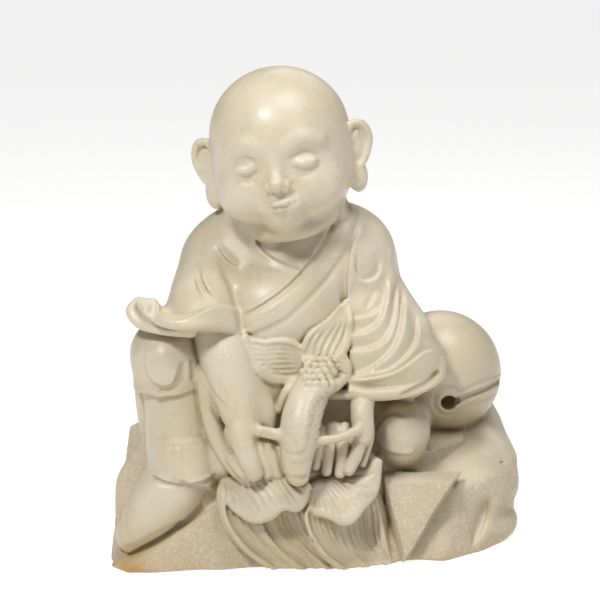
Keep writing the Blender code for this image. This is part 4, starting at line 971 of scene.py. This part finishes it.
def carve_tail_rays(b):
    marks(b, 2.2, 3.6, notch, inset(TAIL_RIGHT, 0.12), 5, ends=(0.1, 0.15))
    marks(b, 2.2, 3.6, notch, (
        [(8, 244), (-8, 252), (-22, 254), (-36, 253), (-49, 257)],
        [(7, 236), (-8, 240), (-22, 240), (-35, 239), (-45, 240)],
        [(6, 228), (-4, 226), (-12, 225), (-20, 225), (-29, 227)],
    ), 7, ends=(0.1, 0.1))


def carve_fish_lines(b):
    """Skin folds and mouth, and the rays of the fin at the tail and of the left side fin."""
    for width, depth, line in (
        (2.0, 2.0, [(-19, 152), (-10, 146), (0, 146), (9, 152)]),
        (2.0, 1.6, [(-18, 168), (-8, 160), (-2, 150)]),
        (2.0, 2.0, [(-14, 138), (-6, 136), (2, 136), (9, 139)]),
        (2.0, 2.4, [(-9, 124), (-3, 121.5), (3, 121.5), (8, 124)]),
    ):
        mark(b, width, depth, notch, *line, ends=(0.3, 0.3))
    for n in range(5):
        ray = [(36 + n * 0.4, 242 - n * 4.5), (42, 241 - n * 4.5), (50, 238 - n * 4.5)]
        mark(b, 1.6, 1.6, notch, *ray, ends=(0.2, 0.2))
    for n in range(4):
        ray = [(-48, 172.5 - n * 1.6), (-34, 169.5 - n * 1.6), (-20, 166 - n * 1.8)]
        mark(b, 1.6, 1.6, notch, *ray, ends=(0.2, 0.4))


def carve_corner(b):
    """The thin point of rock at the lower left."""
    b.add(tube([(*seen(-172, 40, -116), 9), (*seen(-182, 34, -120), 6), (*seen(-189, 31, -122), 2.5)]), 3)


def carve_flank(b):
    """Small scales down the fish's flank."""
    for row in range(11):
        v = 207 - 4.6 * row
        for column in (-6, 0, 6):
            u = 20.5 + column + 3 * (row % 2) - 0.24 * (205 - v)
            rim = [(u - 2.6, v + 1.6), (u, v - 1.2), (u + 2.6, v + 1.6)]
            mark(b, 1.4, 2.0, notch, *rim, steps=3, ends=(0.3, 0.3))


PIT = (202, 138)


def carve_pit(b):
    """A small pit in the top of the rock."""
    b.cut(ellipsoid(lay(b, PIT, (PIT[0] + 1, PIT[1]))[0], (2.6, 2.6, 2.6)), 0.5)


def carve_muyu_ring(b):
    """A line that runs beside the slit, round the hole and back."""
    ring = [(148 + 14 * cos(a), 198 + 14 * sin(a)) for a in np.radians(np.arange(40, 325, 15))]
    above = [(203, 228), (185, 219), (170, 212)]
    below = [(170, 194), (185, 200), (202, 210)]
    mark(b, 2, 2.2, groove, *above, *ring, *below, steps=3, ends=(0.02, 0.02))


def carve_ear_hollows(b):
    """Shallow hollows inside the rims of the ears."""
    for s in (-1, 1):
        b.add(head_ball(s * 74, 6.5, -1, (13, 7, 21), (0, s * 6, s * 28)), 1.5)
        b.cut(head_ball(s * 75, -5, -3, (3.6, 5.5, 8), (0, s * 10, s * 28)), 2)


def carve_face_lines(b):
    sheet = Sheet(HEAD, turned(HEAD_TURN))
    b.add(head_ball(0, -63.5, -38, (11, 7, 8)), 4)

    def line(width, depth, *points, ends=(0.2, 0.2)):
        draw(b, sheet.lay(b, points, 5, -100, 0), width, depth, groove, sheet.inward, ends)

    for s in (-1, 1):
        line(1.9, 3.4, (s * 14, -11), (s * 20, -14), (s * 28, -15.5), (s * 36, -14), (s * 42, -10))
        line(1.9, 2.2, (s * 14, -5), (s * 20, -1), (s * 28, 1), (s * 37, -1), (s * 43, -6))
        line(2.0, 0.8, (s * 19, -20), (s * 28, -21.5), (s * 37, -19))
        line(3.0, 1.0, (s * 13, -31), (s * 16, -36), (s * 19, -42), ends=(0.4, 0.5))
        line(2.0, 1.6, (s * 14.5, -42.5), (s * 15.5, -46), (s * 15, -49), ends=(0.4, 0.4))
        line(1.8, 0.9, (s * 2.5, -33.5), (s * 5.5, -33.2), ends=(0.3, 0.3))
        line(2.0, 1.2, (s * 13, -24), (s * 14, -29), (s * 12, -33), ends=(0.4, 0.4))
    line(1.2, 2.2, (-14, -45.6), (-7, -48), (0, -47.6), (7, -48), (14, -45.6))
    line(2.4, 0.9, (0, -36), (0, -41.5), ends=(0.4, 0.4))
    line(5.0, 1.2, (-13, -55.5), (0, -57), (13, -55.5), ends=(0.4, 0.4))


def carve_water_strands(b):
    """Strands of falling water, in bundles that lie at different depths."""
    for wave, depths, count in ((WAVE_LEFT, WAVE_LEFT_DEPTHS, 18), (WAVE_RIGHT, WAVE_RIGHT_DEPTHS, 16)):
        first, last = (at_depths(line, line_depths, 2.6) for line, line_depths in zip(wave, depths))
        for n in range(count):
            t = (n + 0.3 * sin(2.1 * n)) / (count - 1)
            strand = first * (1 - t) + last * t
            strand[:, 1] -= 5.8 + 1.9 * cos(1.9 * n) + 1.6 * cos(0.8 * n + 1)
            b.add(tube(strand), 0.4)
    carve_water_hollows(b)
    for wave, count in ((WAVE_LEFT, 14), (WAVE_RIGHT, 13)):
        marks(b, 2.2, 4.4, notch, inset(wave, 0.05), count, ends=(0.02, 0.1))


def carve_foam_lines(b):
    """Flutes that spread over the foam from the top of each crest."""
    for (roots, tips), count, gather in ((FOAM_LEFT, 12, 0.25), (FOAM_RIGHT, 12, 0.4)):
        roots = curve([(*p, 0) for p in roots], 8)
        tips = curve([(*p, 0) for p in tips], 8)
        for t in (np.arange(count) + 0.5) / count:
            a, c = along(roots, t * (1 - gather))[:2], along(tips, t)[:2]
            depth = 6.0 + 1.2 * cos(17 * t)
            mark(b, 1.8, depth, notch, a, (a + c) / 2, a * 0.06 + c * 0.94, ends=(0.3, 0.3))


def saw_base(b):
    """The flat underside: everything below the ground is sawn off."""
    b.cut(half((0, 0, 0), (0, 0, 1), (-400, -400, -60), (400, 400, 2)))


# The order of the work, in which later forms cover and cut earlier ones
WORK = (
    carve_base,
    carve_rock_edge,
    carve_corner,
    carve_body,
    carve_legs,
    carve_leg_folds,
    carve_leg_lines,
    carve_muyu,
    carve_neck,
    carve_collar,
    carve_left_sleeve,
    carve_right_sleeve,
    carve_robe_folds,
    carve_back_folds,
    carve_sleeve_line,
    carve_left_hem,
    carve_lap,
    carve_right_arm,
    carve_arm_folds,
    carve_left_arm,
    carve_waves,
    carve_water_strands,
    carve_foam,
    carve_foam_lines,
    carve_tail,
    carve_tail_rays,
    carve_fish,
    carve_scales,
    carve_fish_lines,
    carve_flank,
    carve_muyu_slit,
    carve_muyu_ring,
    carve_pit,
    carve_head,
    carve_ears,
    carve_ear_hollows,
    carve_face_lines,
    saw_base,
)


def largest_body(mesh):
    """Leaves only the biggest body of a mesh that is being worked on."""
    left = set(mesh.faces)
    bodies = []
    while left:
        todo = [left.pop()]
        body = list(todo)
        while todo:
            for edge in todo.pop().edges:
                for face in edge.link_faces:
                    if face in left:
                        left.remove(face)
                        todo.append(face)
                        body.append(face)
        bodies.append(body)
    bodies.sort(key=len)
    for body in bodies[:-1]:
        bmesh.ops.delete(mesh, geom=body, context="FACES")


def build_carving(block):
    """The surface of the block as one mesh of at most TRIANGLES triangles."""
    points, faces = surface(block)
    fine = bpy.data.meshes.new("fine stone")
    fine.from_pydata(((points - MIDDLE) * UNIT).tolist(), [], faces.tolist())
    carving = bpy.data.objects.new("carved_monk", fine)
    bpy.context.scene.collection.objects.link(carving)
    simpler = carving.modifiers.new("simpler", "DECIMATE")
    simpler.ratio = min(TRIANGLES / (2 * len(faces)), 1)
    depsgraph = bpy.context.evaluated_depsgraph_get()
    mesh = bpy.data.meshes.new_from_object(carving.evaluated_get(depsgraph))
    carving.modifiers.clear()
    carving.data = mesh
    bpy.data.meshes.remove(fine)
    stone = bmesh.new()
    stone.from_mesh(mesh)
    largest_body(stone)
    stone.to_mesh(mesh)
    stone.free()
    mesh.name = "carved_monk"
    mesh.shade_smooth()
    return carving


# How far off the surface a narrow crease and a wide hollow are felt
CREASE_REACH = 2.5
HOLLOW_REACH = 6.0
# Height of the chin, above which the painted shade and dirt in hollows are laid on thinly, and of the top of
# the rock
LESS_SHADE_FROM = 352
ROCK_TOP = 140
# The falling water lies in front of this
WATER_BACK = -70
# A reddish speck on the front sheet, and the corner that earth has stained most
SPECK = (-27, 153)
STAINED = (-182, -128, 0)
# Step of the coarse lattices that tell rock and water from the rest, and their corners
COARSE = 3.0
ROCK_HIGH = (STONE_HIGH[0], STONE_HIGH[1], 150)
WATER_HIGH = (STONE_HIGH[0], -60, 130)


def keep(mesh, name, values):
    """Stores a number on each point of a mesh, for the material to read."""
    layer = mesh.attributes.new(name, "FLOAT", "POINT")
    layer.data.foreach_set("value", np.clip(values, 0, 1).astype(np.float32))


def mark_surface(carving, block):
    """Notes where the stone is hollow or faces down, for dirt and painted shade, where it is rough rock, and
    where it is stained.
    """
    mesh = carving.data
    count = len(mesh.vertices)
    points = np.zeros(count * 3)
    mesh.vertices.foreach_get("co", points)
    points = points.reshape(-1, 3) / UNIT + MIDDLE
    out = np.zeros(count * 3)
    mesh.vertex_normals.foreach_get("vector", out)
    out = out.reshape(-1, 3)
    # a point a little way off the surface is nearer to the stone where the stone is hollow
    crease = 1 - value_at(block, points + out * CREASE_REACH) / CREASE_REACH
    hollow = 1 - value_at(block, points + out * HOLLOW_REACH) / HOLLOW_REACH
    ridge = 1 + value_at(block, points - out * CREASE_REACH) / CREASE_REACH
    keep(mesh, "edge", ridge * 1.2)
    # rock: what lies on the base as it was before the figure was added
    base = Block(STONE_LOW, ROCK_HIGH, COARSE)
    carve_base(base)
    rock = np.clip(1.6 - np.abs(value_at(base, points)) / 2.5, 0, 1) * (points[:, 2] < ROCK_TOP)
    keep(mesh, "rock", rock * np.clip(1.5 - out[:, 2] * 1.6, 0.15, 1))
    # painted shade and dirt in creases and hollows, laid on more thinly on the figure's skin above the chin
    # than on the folds and the base
    less_shade = np.clip((points[:, 2] - LESS_SHADE_FROM) / 10, 0, 1) * 0.85
    keep(mesh, "crease", crease * 1.4 * (1 - less_shade))
    keep(mesh, "hollow", hollow * 1.2 * (1 - less_shade))
    # painted shade on what faces down, most near the ground and less on the head
    under = np.clip(0.25 - out[:, 2], 0, 1) * np.clip(1.4 - points[:, 2] / 260, 0.2, 1)
    keep(mesh, "under", under * (1 - 0.6 * less_shade))
    speck = FRONT.touch(block, [(SPECK[0], SPECK[1] - SHEET_FOOT)])[0]
    keep(mesh, "speck", np.exp(-(np.linalg.norm(points - speck, axis=1) / 2.4) ** 2))
    # the falling water, darkened by dirt and painted shade, most in the gaps between the strands
    water = Block(STONE_LOW, WATER_HIGH, COARSE)
    carve_waves(water)
    wet = np.clip(1.8 - np.abs(value_at(water, points)) / 5.5, 0, 1) * (points[:, 1] < WATER_BACK)
    keep(mesh, "water", wet * (1 - rock))
    # earth that has drawn into the stone near the ground, most at the front left corner
    corner = np.linalg.norm((points - STAINED) * (1, 0.7, 1.6), axis=1)
    keep(mesh, "stain", 1.3 * np.exp(-corner / 26) + 0.45 * np.exp(-points[:, 2] / 6))


class Nodes:
    """A short way to write a material's nodes."""

    def __init__(self, name):
        self.material = bpy.data.materials.new(name)
        self.material.use_nodes = True
        self.tree = self.material.node_tree
        self.shader = self.tree.nodes["Principled BSDF"]

    def add(self, kind, **values):
        node = self.tree.nodes.new("ShaderNode" + kind)
        for name, value in values.items():
            setattr(node, name, value)
        return node

    def set(self, socket, value):
        if isinstance(value, bpy.types.NodeSocket):
            self.tree.links.new(value, socket)
        else:
            socket.default_value = value

    def attribute(self, name):
        return self.add("Attribute", attribute_name=name).outputs["Fac"]

    def place(self):
        return self.add("TexCoord").outputs["Object"]

    def noise(self, scale, detail=4, rough=0.5, twist=0.0):
        node = self.add("TexNoise")
        self.set(node.inputs["Vector"], self.place())
        values = {"Scale": scale, "Detail": detail, "Roughness": rough, "Distortion": twist}
        for name, value in values.items():
            self.set(node.inputs[name], value)
        return node.outputs["Fac"]

    def ramp(self, value, low, high, to_low=0.0, to_high=1.0):
        node = self.add("MapRange", interpolation_type="SMOOTHSTEP")
        ends = {"From Min": low, "From Max": high, "To Min": to_low, "To Max": to_high}
        for name, number in {"Value": value, **ends}.items():
            self.set(node.inputs[name], number)
        return node.outputs["Result"]

    def math(self, kind, a, b=0.0):
        node = self.add("Math", operation=kind)
        self.set(node.inputs[0], a)
        self.set(node.inputs[1], b)
        return node.outputs[0]

    def mix(self, share, a, b):
        node = self.add("Mix", data_type="RGBA")
        self.set(node.inputs["Factor"], share)
        self.set(node.inputs["A"], a)
        self.set(node.inputs["B"], b)
        return node.outputs["Result"]

    def tint(self, colour, other, *masks):
        """Mixes in another colour as far as all the masks let it."""
        share = masks[0]
        for mask in masks[1:]:
            share = self.math("MULTIPLY", share, mask)
        return self.mix(share, colour, other)

    def bump(self, height, strength, distance, normal=None):
        node = self.add("Bump")
        self.set(node.inputs["Height"], height)
        self.set(node.inputs["Strength"], strength)
        self.set(node.inputs["Distance"], distance)
        if normal is not None:
            self.set(node.inputs["Normal"], normal)
        return node.outputs["Normal"]


CREAM = (0.59, 0.515, 0.37, 1)
PALE = (0.66, 0.585, 0.455, 1)
ROSY = (0.63, 0.51, 0.345, 1)
OLIVE = (0.48, 0.44, 0.28, 1)
TAWNY = (0.52, 0.44, 0.30, 1)
# The vein colour below is also laid as painted shade in hollows, between the strands and on what faces down;
# the dark colour after it is dirt and painted shade in creases
VEIN_AND_SHADE = (0.45, 0.36, 0.21, 1)
DIRT_AND_SHADE = (0.15, 0.105, 0.045, 1)
EARTH = (0.50, 0.30, 0.10, 1)
WORN = (0.80, 0.75, 0.65, 1)
RED = (0.30, 0.09, 0.05, 1)


def marble():
    n = Nodes("pale marble")
    rock, crease, hollow = n.attribute("rock"), n.attribute("crease"), n.attribute("hollow")
    water = n.attribute("water")
    # clouds of warmer and greener stone, and faint veins
    colour = n.mix(n.ramp(n.noise(9, 3), 0.35, 0.65), CREAM, PALE)
    colour = n.tint(colour, TAWNY, rock, 0.6)
    colour = n.tint(colour, ROSY, n.ramp(n.noise(14, 5, 0.6, 0.6), 0.48, 0.72, 0, 0.45))
    colour = n.tint(colour, OLIVE, n.ramp(n.noise(7, 5, 0.55, 0.8), 0.50, 0.75, 0, 0.40))
    vein = n.math("ABSOLUTE", n.math("SUBTRACT", n.noise(11, 7, 0.6, 1.2), 0.5))
    colour = n.tint(colour, VEIN_AND_SHADE, n.ramp(vein, 0.0, 0.018, 0.22, 0))
    # crystals, brightest on the broken rock, and the rock's warmer patches
    colour = n.tint(colour, WORN, n.ramp(n.noise(700, 2, 0.6), 0.45, 0.75, 0, 0.22))
    colour = n.tint(colour, WORN, rock, n.ramp(n.noise(380, 3, 0.7), 0.50, 0.60, 0, 0.60))
    colour = n.tint(colour, ROSY, rock, n.ramp(n.noise(60, 6, 0.7), 0.35, 0.7, 0.15, 0.70))
    # pale edges; dirt and painted shade in the hollows and creases and between the strands; painted shade
    # under overhangs
    colour = n.tint(colour, WORN, n.ramp(n.attribute("edge"), 0.35, 0.95, 0, 0.35))
    patchy = n.ramp(n.noise(35, 4), 0.3, 0.7, 0.55, 1.0)
    colour = n.tint(colour, VEIN_AND_SHADE, n.ramp(hollow, 0.25, 0.95, 0, 0.50), patchy)
    colour = n.tint(colour, DIRT_AND_SHADE, n.ramp(crease, 0.30, 1.0, 0, 0.62), patchy)
    # dirt and painted shade on the falling water, most between the strands
    colour = n.tint(colour, VEIN_AND_SHADE, water, n.ramp(hollow, 0.2, 0.8, 0.25, 0.85))
    colour = n.tint(colour, DIRT_AND_SHADE, water, n.ramp(crease, 0.2, 0.8, 0, 0.55))
    # painted shade on what faces down
    colour = n.tint(colour, VEIN_AND_SHADE, n.ramp(n.attribute("under"), 0.05, 0.9, 0, 0.70))
    # a speck, and the earth's stain
    colour = n.tint(colour, RED, n.attribute("speck"), 0.9)
    colour = n.tint(colour, EARTH, n.attribute("stain"), n.ramp(n.noise(45, 5), 0.3, 0.65, 0.3, 1.0))
    n.set(n.shader.inputs["Base Color"], colour)
    # satin polish on the figure, broken crystal faces on the rock
    shine = n.ramp(n.noise(55, 4), 0.3, 0.7, 0.31, 0.44)
    facets = n.ramp(n.noise(300, 2, 0.6), 0.45, 0.62, 0.22, -0.14)
    shine = n.math("ADD", shine, n.math("MULTIPLY", rock, facets))
    n.set(n.shader.inputs["Roughness"], n.math("ADD", shine, n.math("MULTIPLY", hollow, 0.18)))
    # fine grain, the rock's chiselled roughness, and a slight waviness all over
    normal = n.bump(n.noise(420, 3, 0.6), 0.06, 0.0006)
    rough = n.math("ADD", n.noise(240, 5, 0.75), n.math("MULTIPLY", n.noise(75, 4, 0.6), 1.6))
    normal = n.bump(n.math("MULTIPLY", rough, rock), 0.6, 0.0028, normal)
    normal = n.bump(n.noise(38, 2, 0.5), 0.10, 0.0025, normal)
    n.set(n.shader.inputs["Normal"], normal)
    n.set(n.shader.inputs["Subsurface Weight"], 0.12)
    n.set(n.shader.inputs["Subsurface Radius"], (1.0, 0.7, 0.4))
    n.set(n.shader.inputs["Subsurface Scale"], 0.004)
    n.set(n.shader.inputs["IOR"], 1.49)
    return n.material


FLOOR_SIZE = 30
FLOOR_COLOUR = (0.45, 0.44, 0.43, 1)
# Lifts the floor to an even white
FLOOR_GLOW = 0.82


def lay_floor():
    mesh = bpy.data.meshes.new("floor")
    half_size = FLOOR_SIZE / 2
    corners = [(x * half_size, y * half_size, 0) for x, y in ((-1, -1), (1, -1), (1, 1), (-1, 1))]
    mesh.from_pydata(corners, [], [(0, 1, 2, 3)])
    floor = bpy.data.objects.new("floor", mesh)
    bpy.context.scene.collection.objects.link(floor)
    n = Nodes("studio floor")
    n.set(n.shader.inputs["Base Color"], FLOOR_COLOUR)
    n.set(n.shader.inputs["Roughness"], 0.9)
    n.set(n.shader.inputs["Specular IOR Level"], 0.1)
    n.set(n.shader.inputs["Emission Color"], (1, 1, 1, 1))
    n.set(n.shader.inputs["Emission Strength"], FLOOR_GLOW)
    mesh.materials.append(n.material)


def aim(thing, place, way):
    thing.location = place
    thing.rotation_euler = Vector(way).to_track_quat("-Z", "Y").to_euler()


SENSOR = 36
# Half of the front sheet's width, which fills the picture
SHEET_HALF = 300


def place_camera():
    data = bpy.data.cameras.new("camera")
    data.sensor_width = SENSOR
    data.lens = SENSOR / 2 * SHEET_DISTANCE / SHEET_HALF
    data.clip_end = 60
    camera = bpy.data.objects.new("camera", data)
    bpy.context.scene.collection.objects.link(camera)
    aim(camera, (FRONT.middle - INWARD * SHEET_DISTANCE - MIDDLE) * UNIT, INWARD)
    bpy.context.scene.camera = camera


# Softboxes: place in metres, side in metres and power in watts
LIGHTS = (
    ((-0.74, -1.18, 1.86), 0.32, 25),
    ((0.40, -0.42, 2.1), 1.0, 22),
    ((0.3, 1.4, 1.5), 1.0, 4),
)
AIM_POINT = Vector((0, 0, 0.24))
SKY = 0.10


def light_studio():
    for place, size, power in LIGHTS:
        data = bpy.data.lights.new("softbox", "AREA")
        data.size = size
        data.energy = power
        lamp = bpy.data.objects.new("softbox", data)
        bpy.context.scene.collection.objects.link(lamp)
        aim(lamp, place, AIM_POINT - Vector(place))
    world = bpy.data.worlds.new("studio")
    world.use_nodes = True
    sky = world.node_tree.nodes["Background"]
    sky.inputs["Color"].default_value = (1, 1, 1, 1)
    sky.inputs["Strength"].default_value = SKY
    bpy.context.scene.world = world


block = Block(STONE_LOW, STONE_HIGH, CELL)
for carve in WORK:
    carve(block)
carving = build_carving(block)
mark_surface(carving, block)
carving.data.materials.append(marble())
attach(carving, "root")
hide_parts("monk_statue")

lay_floor()
place_camera()
light_studio()
bpy.context.scene.view_settings.view_transform = "Standard"
